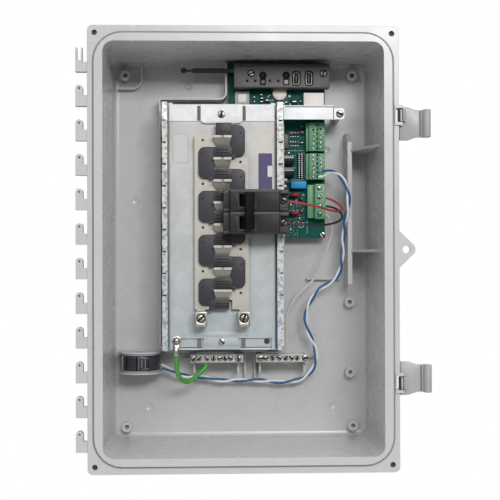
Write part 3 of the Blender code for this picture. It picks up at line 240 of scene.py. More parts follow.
def make_floor():
    floor_mesh = bpy.data.meshes.new("floor")
    shape = bmesh.new()
    bmesh.ops.create_circle(shape, cap_ends=True, segments=96, radius=1.1)
    shape.to_mesh(floor_mesh)
    shape.free()
    floor = bpy.data.objects.new("floor", floor_mesh)
    floor.location.z = -0.62
    floor_mesh.materials.append(plastic("floor_paint", (0.82, 0.82, 0.82), 0.7, grain=0.0))
    bpy.context.scene.collection.objects.link(floor)


# ---------------------------------------------------------------- materials


def surface(name, base, variation, scale, roughness, spread, bump_scale, bump, metallic=0.0, bevel=0.0,
            specular=0.5):
    """A procedural material: cloudy colour, uneven gloss and a fine relief.

    base is the colour; variation is how far it strays; scale is the clouds' size in millimetres.
    roughness and spread are the gloss's middle and range.
    bump_scale is the relief's grain in millimetres and bump its strength.
    """
    made = bpy.data.materials.new(name)
    made.use_nodes = True
    made.diffuse_color = (*base, 1)
    tree = made.node_tree
    shader = tree.nodes["Principled BSDF"]
    shader.inputs["Metallic"].default_value = metallic
    shader.inputs["Specular IOR Level"].default_value = specular
    spot = tree.nodes.new("ShaderNodeTexCoord").outputs["Object"]
    clouds = noise(tree, spot, 1000 / scale, 4)
    shares = (1 - variation, 1 + variation)
    dark, light = ((*[min(1, channel * share) for channel in base], 1) for share in shares)
    tint = add_node(tree, "Mix", {"Factor": clouds, "A": dark, "B": light}, data_type="RGBA")
    tree.links.new(tint.outputs["Result"], shader.inputs["Base Color"])
    gloss = spread_over(tree, clouds, 0.3, 0.7, max(0.02, roughness - spread), min(1, roughness + spread))
    tree.links.new(gloss, shader.inputs["Roughness"])
    relief = {}
    if bevel:
        edge = add_node(tree, "Bevel", {"Radius": bevel * MM}, samples=6)
        relief["Normal"] = edge.outputs["Normal"]
    if bump:
        relief["Height"] = noise(tree, spot, 1000 / bump_scale, 2)
        relief["Strength"] = bump
        relief["Distance"] = bump_scale * MM * 0.2
        relief["Normal"] = add_node(tree, "Bump", relief).outputs["Normal"]
    if relief:
        tree.links.new(relief["Normal"], shader.inputs["Normal"])
    return made


def plastic(name, base, roughness, grain=0.25, bevel=0.0, specular=0.5):
    return surface(name, base, 0.02, 40, roughness, 0.04, 0.6, grain, bevel=bevel, specular=specular)


def metal(name, base, roughness, bevel=0.0):
    return surface(name, base, 0.05, 6, roughness, 0.08, 0.5, 0.15, metallic=1.0, bevel=bevel)


def galvanised(name, base, rails=False):
    """Zinc-coated sheet: soft spangles, and on the pan painted light and shade by height, painted shade on
    faces that turn to the side, and scuffed rails.
    """
    made = surface(name, base, 0.03, 25, ZINC_ROUGHNESS, 0.05, 0.5, 0.15, metallic=ZINC_METALLIC, bevel=0.35)
    tree = made.node_tree
    colour_input = tree.nodes["Principled BSDF"].inputs["Base Color"]
    spot = tree.nodes.new("ShaderNodeTexCoord").outputs["Object"]
    spangle = add_node(tree, "TexVoronoi", {"Vector": spot, "Scale": 110}).outputs["Color"]
    tone = add_node(tree, "SeparateColor", {"Color": spangle}).outputs["Red"]
    colour = times(tree, colour_input.links[0].from_socket, spread_over(tree, tone, 0, 1, 0.9, 1.0))
    if rails:
        place = add_node(tree, "SeparateXYZ", {"Vector": spot})
        # Painted light and shade by height: darker and cooler towards the foot, near white on the top flap
        level = add_node(tree, "ValToRGB", {"Fac": spread_over(tree, place.outputs["Z"], -0.12, 0.18, 0, 1)})
        set_stops(level.color_ramp, PAN_PAINTED_TONES)
        colour = times(tree, colour, level.outputs["Color"])
        # Painted shade: faces that turn to the side are darkened to about a sixth
        normal = tree.nodes.new("ShaderNodeNewGeometry").outputs["Normal"]
        facing = add_node(tree, "SeparateXYZ", {"Vector": normal}).outputs["X"]
        sideways_shade = add_node(tree, "Math", {0: facing}, operation="ABSOLUTE").outputs["Value"]
        colour = times(tree, colour, spread_over(tree, sideways_shade, 0.3, 0.6, 1.0, 0.16))
        on_rail = spread_over(tree, place.outputs["Y"], -0.0668, -0.0662, 1.0, 0.0)
        worn = spread_over(tree, noise(tree, spot, 240, 3), 0.36, 0.56, 0.62, 1.22)
        both = add_node(tree, "Mix", {"Factor": on_rail, "A": 1.0, "B": worn}, data_type="FLOAT")
        colour = times(tree, colour, both.outputs["Result"])
    tree.links.new(colour, colour_input)
    return made


MATERIALS = {
    "grey_polycarbonate": plastic("box_plastic", (0.57, 0.575, 0.57), 0.28, grain=0.12, bevel=0.6),
    "galvanised_steel": galvanised("pan_zinc", (0.82, 0.82, 0.82), rails=True),
    "tinned_bus": surface(
        "bus_tin", (0.52, 0.495, 0.44), 0.05, 6, 0.55, 0.05, 0.5, 0.15, metallic=0.4, bevel=0.2,
    ),
    "black_phenolic": plastic("phenolic_black", (0.034, 0.033, 0.038), 0.46, specular=0.3, bevel=0.25),
    "lug_aluminium": metal("lug_tin", (0.50, 0.48, 0.43), 0.42, bevel=0.25),
    "tinned_copper": metal("crimp_tin", (0.86, 0.76, 0.68), 0.28, bevel=0.2),
    "board_green": surface("board_mask", (0.002, 0.100, 0.080), 0.8, 2.2, 0.5, 0.05, 0.6, 0.1, specular=0.12),
    "dark_cover_plastic": plastic("cover_plastic", (0.155, 0.146, 0.148), 0.5, specular=0.35, bevel=0.3),
    "white_plastic": plastic("white_moulding", (0.86, 0.82, 0.76), 0.4, bevel=0.2),
    "zinc_plated_steel": metal("screw_zinc", (0.84, 0.83, 0.79), 0.22, bevel=0.15),
    "terminal_green": plastic("terminal_plastic", (0.112, 0.33, 0.17), 0.42, bevel=0.2),
    "capacitor_blue": plastic("capacitor_plastic", (0.0, 0.27, 0.60), 0.4, specular=0.3, bevel=0.3),
    "varistor_red": plastic("varistor_epoxy", (0.42, 0.02, 0.02), 0.22, bevel=0.3),
    "insulation_red": plastic("wire_red_pvc", (0.42, 0.035, 0.05), 0.35, grain=0.1),
    "insulation_black": plastic("wire_black_pvc", (0.02, 0.02, 0.022), 0.35, grain=0.1),
    "insulation_beige": plastic("wire_beige_pvc", (0.66, 0.58, 0.51), 0.4, grain=0.1),
    "insulation_blue": plastic("wire_blue_pvc", (0.010, 0.105, 0.29), 0.35, grain=0.1),
    "insulation_white": plastic("wire_white_pvc", (0.82, 0.82, 0.84), 0.35, grain=0.1),
    "insulation_green": plastic("wire_green_pvc", (0.07, 0.33, 0.05), 0.32, grain=0.1),
}

LATCH_GREY = plastic("latch_plastic", (0.42, 0.425, 0.42), 0.36, grain=0.12)
PAN_SHADE = plastic("pan_shade", (0.15, 0.165, 0.17), 0.6)
STRAP_ZINC = galvanised("strap_zinc", (0.86, 0.87, 0.875))
HEM_ZINC = galvanised("hem_zinc", (0.72, 0.74, 0.75))
SCREW_METAL = metal("screw_bright", (0.42, 0.41, 0.39), 0.34)
TERMINAL_SCREW = metal("contact_bright", (0.55, 0.56, 0.53), 0.42)
CLAMP_BLUE = metal("clamp_passivated", (0.30, 0.35, 0.40), 0.36)
SOCKET_METAL = metal("socket_nickel", (0.16, 0.155, 0.15), 0.35)
# Painted shadow along the groove round the rim
GROOVE_SHADOW = plastic("groove_shadow", (0.25, 0.25, 0.25), 0.6)
COPPER = metal("bare_copper", (0.80, 0.42, 0.22), 0.3)
LABEL_WHITE = plastic("label_white", (0.82, 0.83, 0.83), 0.5, grain=0.05)
LABEL_PALE = plastic("label_pale", (0.63, 0.64, 0.645), 0.5, grain=0.05)
LABEL_EDGE = plastic("label_edge", (0.36, 0.37, 0.375), 0.5, grain=0.05)
LABEL_CREAM = plastic("label_cream", (0.70, 0.68, 0.62), 0.5, grain=0.05)
LABEL_VIOLET = plastic("label_violet", (0.072, 0.05, 0.165), 0.5, grain=0.05)
LABEL_BLACK = plastic("label_black", (0.026, 0.025, 0.029), 0.5, grain=0.05, specular=0.3)
INSULATOR_GREY = plastic("insulator_grey", (0.042, 0.042, 0.050), 0.45, specular=0.35)
# Painted highlight on the breaker poles' raised ribs
BREAKER_HIGHLIGHT = plastic("breaker_highlight", (0.085, 0.072, 0.078), 0.5, specular=0.4)
HANDLE_BLACK = plastic("handle_black", (0.005, 0.005, 0.006), 0.5, specular=0.08)
TRANSFORMER_BLACK = plastic("transformer_black", (0.034, 0.036, 0.042), 0.3)
TRANSFORMER_GREY = plastic("transformer_grey", (0.16, 0.17, 0.19), 0.3)
SLEEVE_PALE = plastic("sleeve_pale", (0.40, 0.42, 0.45), 0.16)
# Painted shade in holes, slots, wells, mouths, grooves and gaps
HOLE_SHADE = plastic("hole_shade", (0.006, 0.006, 0.006), 0.6, specular=0.2)
CHIP_BLACK = plastic("chip_black", (0.010, 0.011, 0.016), 0.4, specular=0.3)
RELAY_NAVY = plastic("relay_navy", (0.005, 0.006, 0.016), 0.45, specular=0.15)
CHIP_GREY = plastic("chip_grey", (0.11, 0.11, 0.115), 0.45)
SHIELD_GREY = plastic("shield_tin", (0.40, 0.44, 0.43), 0.4)
CREAM = plastic("cream_moulding", (0.95, 0.89, 0.82), 0.45)
BUTTON_BLACK = plastic("button_black", (0.010, 0.010, 0.011), 0.5, specular=0.25)
ARM_BLACK = plastic("arm_black", (0.022, 0.02, 0.023), 0.45)
# Painted shadow on the latch clips, in the latch grooves and at the corner holes' blind ends
PIVOT_SHADOW = plastic("pivot_shadow", (0.05, 0.05, 0.05), 0.6)
# Painted light: the right light window is painted brighter than the left
GUIDE_PAINTED_TONES = {
    "left": plastic("guide_painted_shade", (0.10, 0.10, 0.105), 0.4),
    "right": plastic("guide_painted_light", (0.42, 0.42, 0.43), 0.4),
}
NODE_FINISHES = {"board_strap": STRAP_ZINC}


def dress_nodes():
    """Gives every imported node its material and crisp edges."""
    for node, slot in SLOTS.items():
        mesh = NODES[node].data
        mesh.materials.clear()
        mesh.materials.append(NODE_FINISHES.get(node, MATERIALS[slot]))
        for face in mesh.polygons:
            face.material_index = 0
        mesh.shade_smooth()
        mesh.set_sharp_from_angle(angle=radians(30))


# ---------------------------------------------------------------- mesh helpers


def limits(node):
    """A node's extent in millimetres, as pairs along x, y and z."""
    low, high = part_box(node)
    return tuple((start / MM, end / MM) for start, end in zip(low, high))


def middle(span):
    return sum(span) / 2


def centred(centre, half_width):
    return (centre - half_width, centre + half_width)


def round_place(node):
    """Where a round node that faces front is: its centre across, its radius, and its extent in y."""
    x, y, z = limits(node)
    return (middle(x), middle(z)), (x[1] - x[0]) / 2, y


def along(axis, u, v, w):
    """The point that lies at u, v across an axis and at w along it."""
    return {"X": (w, u, v), "Y": (u, w, v), "Z": (u, v, w)}[axis]


def arc(centre, radius, start, end, steps):
    """Points on an arc, with its angles in degrees."""
    angles = [radians(start + (end - start) * step / steps) for step in range(steps + 1)]
    return [(centre[0] + radius * cos(angle), centre[1] + radius * sin(angle)) for angle in angles]


def rounded(u, v, radii, steps=5):
    """A rectangle's outline with its own radius at each corner: low-low, high-low, high-high, low-high."""
    corners = ((u[0], v[0], 1, 1), (u[1], v[0], -1, 1), (u[1], v[1], -1, -1), (u[0], v[1], 1, -1))
    outline = []
    for index, ((corner_u, corner_v, side_u, side_v), radius) in enumerate(zip(corners, radii)):
        if radius == 0:
            outline.append((corner_u, corner_v))
            continue
        centre = (corner_u + side_u * radius, corner_v + side_v * radius)
        outline += arc(centre, radius, index * 90 + 180, index * 90 + 270, steps)
    return outline


def round_edges(shape, edges, width, segments=2, clamp=True):
    bmesh.ops.bevel(
        shape, geom=list(edges), offset=width * MM, segments=segments, profile=0.5, affect="EDGES",
        clamp_overlap=clamp,
    )


def add_block(shape, x, y, z, edge=0.0, segments=2):
    """A box between limits, with its edges rounded."""
    made = bmesh.ops.create_cube(shape, size=1)["verts"]
    for vertex in made:
        vertex.co = Vector(
            (low + (place + 0.5) * (high - low)) * MM
            for place, (low, high) in zip(vertex.co, (x, y, z))
        )
    if edge:
        edges = dict.fromkeys(link for vertex in made for link in vertex.link_edges)
        round_edges(shape, edges, edge, segments)


def add_plate(shape, outline, span, edge=0.0, segments=2):
    """An outline that faces front, extruded over its span in y, with its two rims rounded."""
    corners = [shape.verts.new(Vector((u, span[0], v)) * MM) for u, v in outline]
    face = shape.faces.new(corners)
    made = bmesh.ops.extrude_face_region(shape, geom=[face])["geom"]
    lifted = [item for item in made if isinstance(item, bmesh.types.BMVert)]
    bmesh.ops.translate(shape, verts=lifted, vec=Vector((0, span[1] - span[0], 0)) * MM)
    if edge:
        cap = next(item for item in made if isinstance(item, bmesh.types.BMFace))
        round_edges(shape, [*face.edges, *cap.edges], edge, segments)


def add_turned(shape, profile, centre, base, axis="Y", steps=24):
    """A turned form: profile is (radius, height) from its tip down; heights on Y run to the front."""
    sign = -1 if axis == "Y" else 1
    rings = []
    for radius, height in profile:
        count = steps if radius else 1
        rings.append([
            shape.verts.new(Vector(along(
                axis,
                centre[0] + radius * cos(tau * step / steps),
                centre[1] + radius * sin(tau * step / steps),
                base + sign * height,
            )) * MM)
            for step in range(count)
        ])
    for upper, lower in zip(rings, rings[1:]):
        for step in range(steps):
            after = (step + 1) % steps
            corners = [upper[step % len(upper)], upper[after % len(upper)]]
            corners += [lower[after % len(lower)], lower[step % len(lower)]]
            distinct = list(dict.fromkeys(corners))
            if len(distinct) > 2:
                shape.faces.new(distinct)


def add_disc(shape, centre, radius, base, lift, sink, steps=24):
    """A round disc that faces front, from lift before its base to sink behind it."""
    add_turned(shape, ((0, lift), (radius, lift), (radius, -sink), (0, -sink)), centre, base, steps=steps)


def add_ring(shape, centre, inner, outer, span):
    """A flat ring that faces front, from span's low y to its high y."""
    depth = span[1] - span[0]
    profile = ((inner, depth), (outer, depth), (outer, 0), (inner, 0), (inner, depth))
    add_turned(shape, profile, centre, span[1], steps=32)


def add_frame(shape, x, z, wall, radius, span, steps=5):
    """A rounded rectangular ring that faces front, such as a socket's can."""
    outer = rounded(x, z, [radius] * 4, steps)
    inner_radius = max(0.2, radius - wall)
    inner = rounded((x[0] + wall, x[1] - wall), (z[0] + wall, z[1] - wall), [inner_radius] * 4, steps)
    loops = [
        [shape.verts.new(Vector((u, place, v)) * MM) for u, v in outline]
        for outline, place in ((outer, span[0]), (inner, span[0]), (inner, span[1]), (outer, span[1]))
    ]
    for first, second in zip(loops, loops[1:] + loops[:1]):
        for index in range(len(first)):
            after = (index + 1) % len(first)
            shape.faces.new((first[index], first[after], second[after], second[index]))


def add_slotted_head(pads, floor, centre, seat, radius, height, angle, slot=0.2):
    """A screw head that faces front: two domed halves over the floor of its slot, at an angle; the floor goes
    into the painted-shade piece.
    """
    add_disc(floor, centre, radius * 0.94, seat, height * 0.4, 0.05)
    start = degrees(asin(slot / 0.98))
    for side in (0, 180):
        turn = radians(angle + side)
        outline = [
            (centre[0] + u * cos(turn) - v * sin(turn), centre[1] + u * sin(turn) + v * cos(turn))
            for u, v in arc((0, 0), radius, start, 180 - start, 14)
        ]
        add_plate(pads, outline, (seat - height, seat), edge=height * 0.3)


def piece(name, shape, material, slot=None, body=FIXED, stands_for=None):
    """Puts a finished form into the scene, on its body.

    material is a slot's name, or, when slot is given, a material of its own.
    """
    bmesh.ops.recalc_face_normals(shape, faces=shape.faces)
    mesh = bpy.data.meshes.new(name)
    shape.to_mesh(mesh)
    shape.free()
    mesh.materials.append(material if slot else MATERIALS[material])
    mesh.shade_smooth()
    mesh.set_sharp_from_angle(angle=radians(35))
    made = bpy.data.objects.new(name, mesh)
    bpy.context.scene.collection.objects.link(made)
    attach(made, body)
    if stands_for:
        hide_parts(stands_for)
    return made


def block_piece(name, blocks, material, slot=None, body=FIXED, stands_for=None):
    """A piece made of boxes, each given as its limits along x, y and z and the rounding of its edges."""
    shape = bmesh.new()
    for x, y, z, edge in blocks:
        add_block(shape, x, y, z, edge=edge)
    return piece(name, shape, material, slot, body, stands_for)


def refined(node, width, body=FIXED, material=None, segments=2, least=50):
    """A copy of a node with rounded edges, standing for it; least is the sharpest edge left, in degrees."""
    slot = SLOTS[node]
    shape = bmesh.new()
    shape.from_mesh(NODES[node].data)
    bmesh.ops.remove_doubles(shape, verts=shape.verts, dist=2e-6)
    bmesh.ops.dissolve_limit(shape, angle_limit=radians(1), verts=shape.verts, edges=shape.edges)
    edges = [edge for edge in shape.edges if edge.is_manifold and edge.calc_face_angle(0) > radians(least)]
    round_edges(shape, edges, width, segments, clamp=False)
    return piece(f"{node}_body", shape, material or MATERIALS[slot], slot, body, node)


def recoloured(made, material, test):
    """Gives a second material to the faces whose centre, in millimetres, passes the test."""
    made.data.materials.append(material)
    for face in made.data.polygons:
        if test(face.center / MM):
            face.material_index = 1


# ---------------------------------------------------------------- load centre


def stab_height(index):
    return STAB_TOP - index * STAB_PITCH


def make_insulator():
    """The serpentine moulding between the stabs, with ribbed crossings and rounded lobes."""
    x, y, z = limits("bus_insulator")
    front, back = y[0] + 1.5, y[0] + 6.2
    dimple = ((0, 0.9), (0.7, 0.8), (1.2, 0.3), (1.3, -0.5), (0, -0.5))
    shape = bmesh.new()
    add_plate(shape, rounded((-30.6, -12.7), (stab_height(0) + 2.2, z[1]), [0] * 4), (front, back), edge=0.5)
    for index in range(STAB_COUNT):
        height = stab_height(index)
        last = index == STAB_COUNT - 1
        low, high = height - (21.4 if last else 23.2), height - 11.3
        crossing = (-38.0, -15.4) if last else (-34.4, -11.6)
        add_block(shape, crossing, (front - 0.02, -61.9), (low, high), edge=0.6)
        for ridge in range(3):
            ridge_z = centred(high - 3.0 - ridge * 3.0, 0.7)
            add_block(shape, (-30.5, -15.9), (front - 1.4, front + 1), ridge_z, edge=0.5)
        lobe_z = (height - (17.2 if last else 22.6), height + 14.0)
        if index % 2 == 0:
            lobe = rounded((-14.0, x[1]), lobe_z, (0, 7, 7, 0))
            dimple_x, ledge = -1.8, (-12.2, -7.8)
        else:
            lobe = rounded((x[0], -32.0), lobe_z, (7, 0, 0, 7))
            dimple_x, ledge = -46.0, (-38.8, -34.2)
        add_plate(shape, lobe, (front + 0.03, back), edge=0.9, segments=3)
        add_block(shape, ledge, (front - 0.8, front + 1), (low - 1.6, low + 2.4), edge=0.5)
        add_turned(shape, dimple, (dimple_x, height + 5.0), front)
    piece("bus_insulator_body", shape, INSULATOR_GREY, "black_phenolic", stands_for="bus_insulator")


def make_pan_labels():
    """Plain stickers on the pan's floor."""
    for name, x, z, lift, material in (
        ("pan_label_border", (-80.8, -63.0), (101.3, 135.6), 0.06, LABEL_EDGE),
        ("pan_label_left", (-80.2, -63.6), (101.9, 135.0), 0.12, LABEL_PALE),
        ("pan_label_right", (17.7, 35.3), (116.9, 135.7), 0.12, LABEL_CREAM),
        ("pan_label_violet", (19.2, 35.2), (71.2, 112.9), 0.12, LABEL_VIOLET),
        ("pan_label_window", (29.9, 35.2), (85.3, 98.2), 0.2, LABEL_WHITE),
    ):
        shape = bmesh.new()
        add_plate(shape, rounded(x, z, [0.8] * 4), (PAN_FACE - lift, PAN_FACE - 0.02))
        piece(name, shape, material, "white_plastic")


def make_pan_emboss():
    """The raised pad over the pan's lower tab, and painted shade on the sloping shoulders beside the tab."""
    shape = bmesh.new()
    outline = [(-56.0, -100.9), (-51.5, -96.6), (-46.5, -95.2), (-2.5, -95.2), (2.5, -96.6), (7.0, -100.9)]
    add_plate(shape, outline, (PAN_FACE - 0.35, PAN_FACE + 0.2), edge=0.3)
    piece("pan_emboss", shape, "galvanised_steel")
    shoulder_y = (PAN_FOOT_FACE - 0.25, PAN_FOOT_FACE + 0.4)
    shoulder_z = (limits("panel_pan")[2][0] + 1.0, -102.8)
    shoulders = [(x, shoulder_y, shoulder_z, 0.2) for x in ((-53.0, -48.2), (-1.2, 3.6))]
    block_piece("pan_foot_shoulder_shade", shoulders, PAN_SHADE, "galvanised_steel")


def make_pan_hem():
    """The rolled lip along the pan's foot, painted shadow in the gap over it and the lower tab's rounded
    face.
    """
    shape = bmesh.new()
    outer = arc((-87.5, -112.0), 5.0, 180, 270, 8) + arc((43.5, -112.0), 5.0, 270, 360, 8)
    inner = arc((43.5, -112.0), 3.4, 360, 270, 8) + arc((-87.5, -112.0), 3.4, 270, 180, 8)
    add_plate(shape, outer + inner, (PAN_FOOT_FACE - 0.5, PAN_FOOT_FACE + 0.3), edge=0.25)
    piece("pan_hem", shape, HEM_ZINC, "galvanised_steel")
    shape = bmesh.new()
    under = arc((-78.0, -110.6), 4.0, 225, 270, 5) + arc((32.0, -110.6), 4.0, 270, 315, 5)
    above = [(u, v + 0.8) for u, v in reversed(under)]
    add_plate(shape, under + above, (PAN_FOOT_FACE - 0.08, PAN_FOOT_FACE + 0.3))
    piece("pan_gap_shadow", shape, HOLE_SHADE, "galvanised_steel")
    shape = bmesh.new()
    tab = rounded((-46.0, -3.6), (-112.6, -102.6), (0.3, 0.3, 3.5, 3.5))
    add_plate(shape, tab, (PAN_FACE - 0.1, PAN_FACE + 0.7), edge=0.35)
    piece("pan_tab_face", shape, "galvanised_steel")


def make_strap_lines():
    """Painted shadow lines along the strap's folded top edge and at the step before its end tab, and painted
    shade in the pan's slots behind it.
    """
    front = limits("board_strap")[1][0]
    fold_y = (front - 0.1, front + 0.4)
    folds = (((51.0, 107.6), fold_y, (167.0, 168.2), 0.15), ((107.2, 108.3), fold_y, (153.0, 168.0), 0.15))
    block_piece("strap_fold_shadows", folds, PAN_SHADE, "galvanised_steel")
    slots = [(x, (PAN_FACE - 0.1, PAN_FACE + 0.6), (150.4, 168.4), 0.1) for x in ((-52.6, -48.2), (0.4, 4.8))]
    block_piece("pan_slot_shade", slots, PAN_SHADE, "galvanised_steel")


def make_lugs():
    # floors gathers painted shade: the slot floors and a dark ring round each screw
    floors = bmesh.new()
    for side, turn in (("left", 40), ("right", 70)):
        refined(f"lug_{side}", 0.7)
        node = f"lug_screw_{side}"
        centre, radius, y = round_place(node)
        seat = y[0] + 2.6
        shape = bmesh.new()
        add_slotted_head(shape, floors, centre, seat, radius * 0.9, 2.6, turn)
        add_disc(shape, centre, radius * 0.8, seat, 0, 3.2)
        add_ring(floors, centre, radius * 0.9, radius + 0.7, (y[0] + 1.2, y[0] + 2.0))
        piece(f"{node}_head", shape, SCREW_METAL, "zinc_plated_steel", stands_for=node)
    piece("lug_screw_slot_shadows", floors, HOLE_SHADE, "zinc_plated_steel")


def make_screws():
    """Every slotted pan-head screw: a domed, slotted head with its shank, and painted shade on its slot's
    floor and in a ring round it.
    """
    floors = bmesh.new()
    for index, node in enumerate(SCREWS):
        centre, radius, y = round_place(node)
        height = radius * 0.62
        seat = y[0] + height
        end = seat - y[1]
        shape = bmesh.new()
        add_slotted_head(shape, floors, centre, seat, radius, height, SCREW_TURNS[index % len(SCREW_TURNS)])
        add_turned(shape, ((0, 0.2), (1.6, 0.2), (1.6, end + 0.6), (1.0, end), (0, end)), centre, seat)
        add_ring(floors, centre, radius * 0.97, radius + 0.5, (seat - 0.2, seat + 0.2))
        # Painted shade: the breaker's recessed screws get the darker socket metal
        tone = SOCKET_METAL if node.startswith("breaker") else SCREW_METAL
        piece(f"{node}_head", shape, tone, "zinc_plated_steel", stands_for=node)
    piece("screw_slot_shadows", floors, HOLE_SHADE, "zinc_plated_steel")


def make_ground_terminal():
    """The domed earth screw, the ring terminal, and the bare strands at both ends of its barrel."""
    refined("ring_terminal", 0.3, least=60)
    centre, radius, y = round_place("ground_screw")
    rise = 3.8
    seat = y[0] + rise
    end = seat - y[1]
    dome = [(radius * sin(radians(angle)), rise * cos(radians(angle))) for angle in range(0, 91, 15)]
    profile = (*dome, (radius, -0.1), (2.0, -0.1), (2.0, end), (0, end))
    shape = bmesh.new()
    add_turned(shape, profile, centre, seat, steps=32)
    piece("ground_screw_head", shape, SCREW_METAL, "zinc_plated_steel", stands_for="ground_screw")
    z = limits("ring_terminal")[2]
    barrel = (-77.2, -64.8)
    shape = bmesh.new()
    for count, ring in ((1, 0), (6, 1.25)):
        for step in range(count):
            angle = tau * step / count
            strand = (barrel[0] + ring * cos(angle), barrel[1] + ring * sin(angle))
            for tip, foot in ((1.7, z[0]), (1.4, z[1] - 9.6)):
                wisp = ((0, tip), (0.6, tip - 0.2), (0.6, -1.0), (0, -1.0))
                add_turned(shape, wisp, strand, foot, "Z", 8)
    piece("ground_strands", shape, COPPER, "tinned_copper")


# ---------------------------------------------------------------- breaker


def make_breaker():
    """Both poles with rounded edges, their plain label areas, raised ribs with painted highlight and grooves
    with painted shadow, and the tied handle.
    """
    label_x = ((15.0, 39.2), (-13.2, -5.4))
    for which in ("upper", "lower"):
        node = f"breaker_pole_{which}"
        refined(node, 0.45, least=40)
        front = limits(node)[1][0]
        bottom, top = limits(node)[2]
        shape = bmesh.new()
        for x in label_x:
            label = rounded(x, (bottom + 3.6, top - 4.6), [0.8] * 4)
            add_plate(shape, label, (front - 0.12, front + 0.1), edge=0.1)
        piece(f"breaker_label_{which}", shape, LABEL_BLACK, "black_phenolic")
        # Raised ribs in a lighter colour: painted highlight along the edges
        ribs = (
            ((-14.6, 41.0), (front - 0.1, front + 0.6), (top - 3.4, top - 0.5), 0.25),
            ((41.8, 51.6), (-99.5, -98.6), (top - 4.2, top - 0.6), 0.25),
            ((-22.0, -15.6), (-97.6, -96.6), (top - 5.0, top - 0.8), 0.3),
            ((-22.0, -15.6), (-97.6, -96.6), (bottom + 0.8, bottom + 3.4), 0.3),
        )
        block_piece(f"breaker_rib_highlights_{which}", ribs, BREAKER_HIGHLIGHT, "black_phenolic")
        # Painted shadow in the grooves
        groove_y = (front - 0.06, front + 0.5)
        grooves = [(centred(x, 0.35), groove_y, (bottom + 0.6, top - 0.6), 0.1) for x in (-14.2, 40.6)]
        grooves += [((-13.6, 40.0), groove_y, centred(z, 0.25), 0.1) for z in (top - 3.7, bottom + 2.6)]
        block_piece(f"breaker_groove_shadows_{which}", grooves, HOLE_SHADE, "black_phenolic")
    refined("breaker_handle", 0.9, body="breaker_toggle", material=HANDLE_BLACK, segments=3)


# ---------------------------------------------------------------- circuit board


def make_terminals():
    """Two-tier pluggable terminals: a stepped housing, with painted shade in its screw wells, wire mouths and
    divider slots.
    """
    for node, open_row in (("signal_terminals_upper", 1), ("signal_terminals_lower", None)):
        x, y, z = limits(node)
        front, back = y
        pitch = (z[1] - z[0]) / TERMINAL_ROWS
        blocks = [
            ((x[0], 80.8), (-36.0, back), z, 0.3),
            ((80.6, 90.4), (front + 1.2, back), z, 0.4),
            ((90.2, x[1]), (-38.5, back), (z[0] + 0.4, z[1]), 0.4),
        ]
        for row in range(TERMINAL_ROWS + 1):
            rib_z = centred(min(max(z[0] + row * pitch, z[0] + 0.4), z[1] - 0.4), 0.4)
            blocks.append(((81.2, 90.0), (front + 0.4, front + 3), rib_z, 0.15))
            blocks.append(((90.6, x[1] - 0.4), (-39.4, -36), rib_z, 0.15))
        block_piece(f"{node}_housing", blocks, "terminal_green", stands_for=node)
        heads = bmesh.new()
        # mouths gathers painted shade: the wire mouths, the screw wells and the divider slots
        mouths = bmesh.new()
        for row in range(TERMINAL_ROWS):
            row_z = z[1] - (row + 0.5) * pitch
            for column, face, lift in ((85.8, front + 1.2, 0.0), (94.6, -38.5, 1.1)):
                place = (column, row_z + lift)
                if row == open_row:
                    add_disc(mouths, place, 1.5, face, 0.12, 0.3)
                    continue
                add_disc(mouths, place, 1.9, face, 0.05, 0.3)
                add_slotted_head(heads, mouths, place, face + 0.1, 1.45, 0.9, 20 + 37 * row)
            add_block(mouths, (89.4, 91.0), (front + 0.5, front + 4), centred(row_z + 0.4, 1.1))
        piece(f"{node}_screws", heads, TERMINAL_SCREW, "zinc_plated_steel")
        piece(f"{node}_mouths", mouths, HOLE_SHADE, "black_phenolic")


def make_power_terminals():
    """The four-way terminal for the supply wires, on its lower plug-in base."""
    x, (front, back), z = limits("power_terminals")
    row_pitch = 10.3
    blocks = [
        ((x[0] + 3.4, x[1]), (front + 0.4, back), z, 0.5),
        ((x[0] - 5.0, x[0] + 3.6), (-33.0, back), (z[0] + 1.0, z[1] - 0.6), 0.4),
    ]
    for row in range(4):
        rib_z = centred(z[0] + (row + 0.5) * row_pitch - 5.1, 0.35)
        blocks.append(((x[0] + 3.8, x[1] - 0.4), (front, front + 2), rib_z, 0.12))
    block_piece("power_terminals_housing", blocks, "terminal_green", stands_for="power_terminals")
    heads = bmesh.new()
    # Painted shade in the screw wells and slots
    wells = bmesh.new()
    for row_z, turn in ((73.3, 20), (62.6, 65), (52.3, 110), (42.4, 150)):
        place = (92.6, row_z)
        add_disc(wells, place, 3.0, front + 0.4, 0.1, 0.3)
        add_slotted_head(heads, wells, place, front + 0.5, 2.2, 1.0, turn)
    piece("power_terminals_screws", heads, SCREW_METAL, "zinc_plated_steel")
    piece("power_terminals_well_shadows", wells, HOLE_SHADE, "black_phenolic")


def add_part(shape, x, z, half_x, half_z, front, edge=0.15):
    """A block on the board: its centre across, half its size each way, and its front."""
    add_block(shape, centred(x, half_x), (front, BOARD_FACE + 0.05), centred(z, half_z), edge=edge)


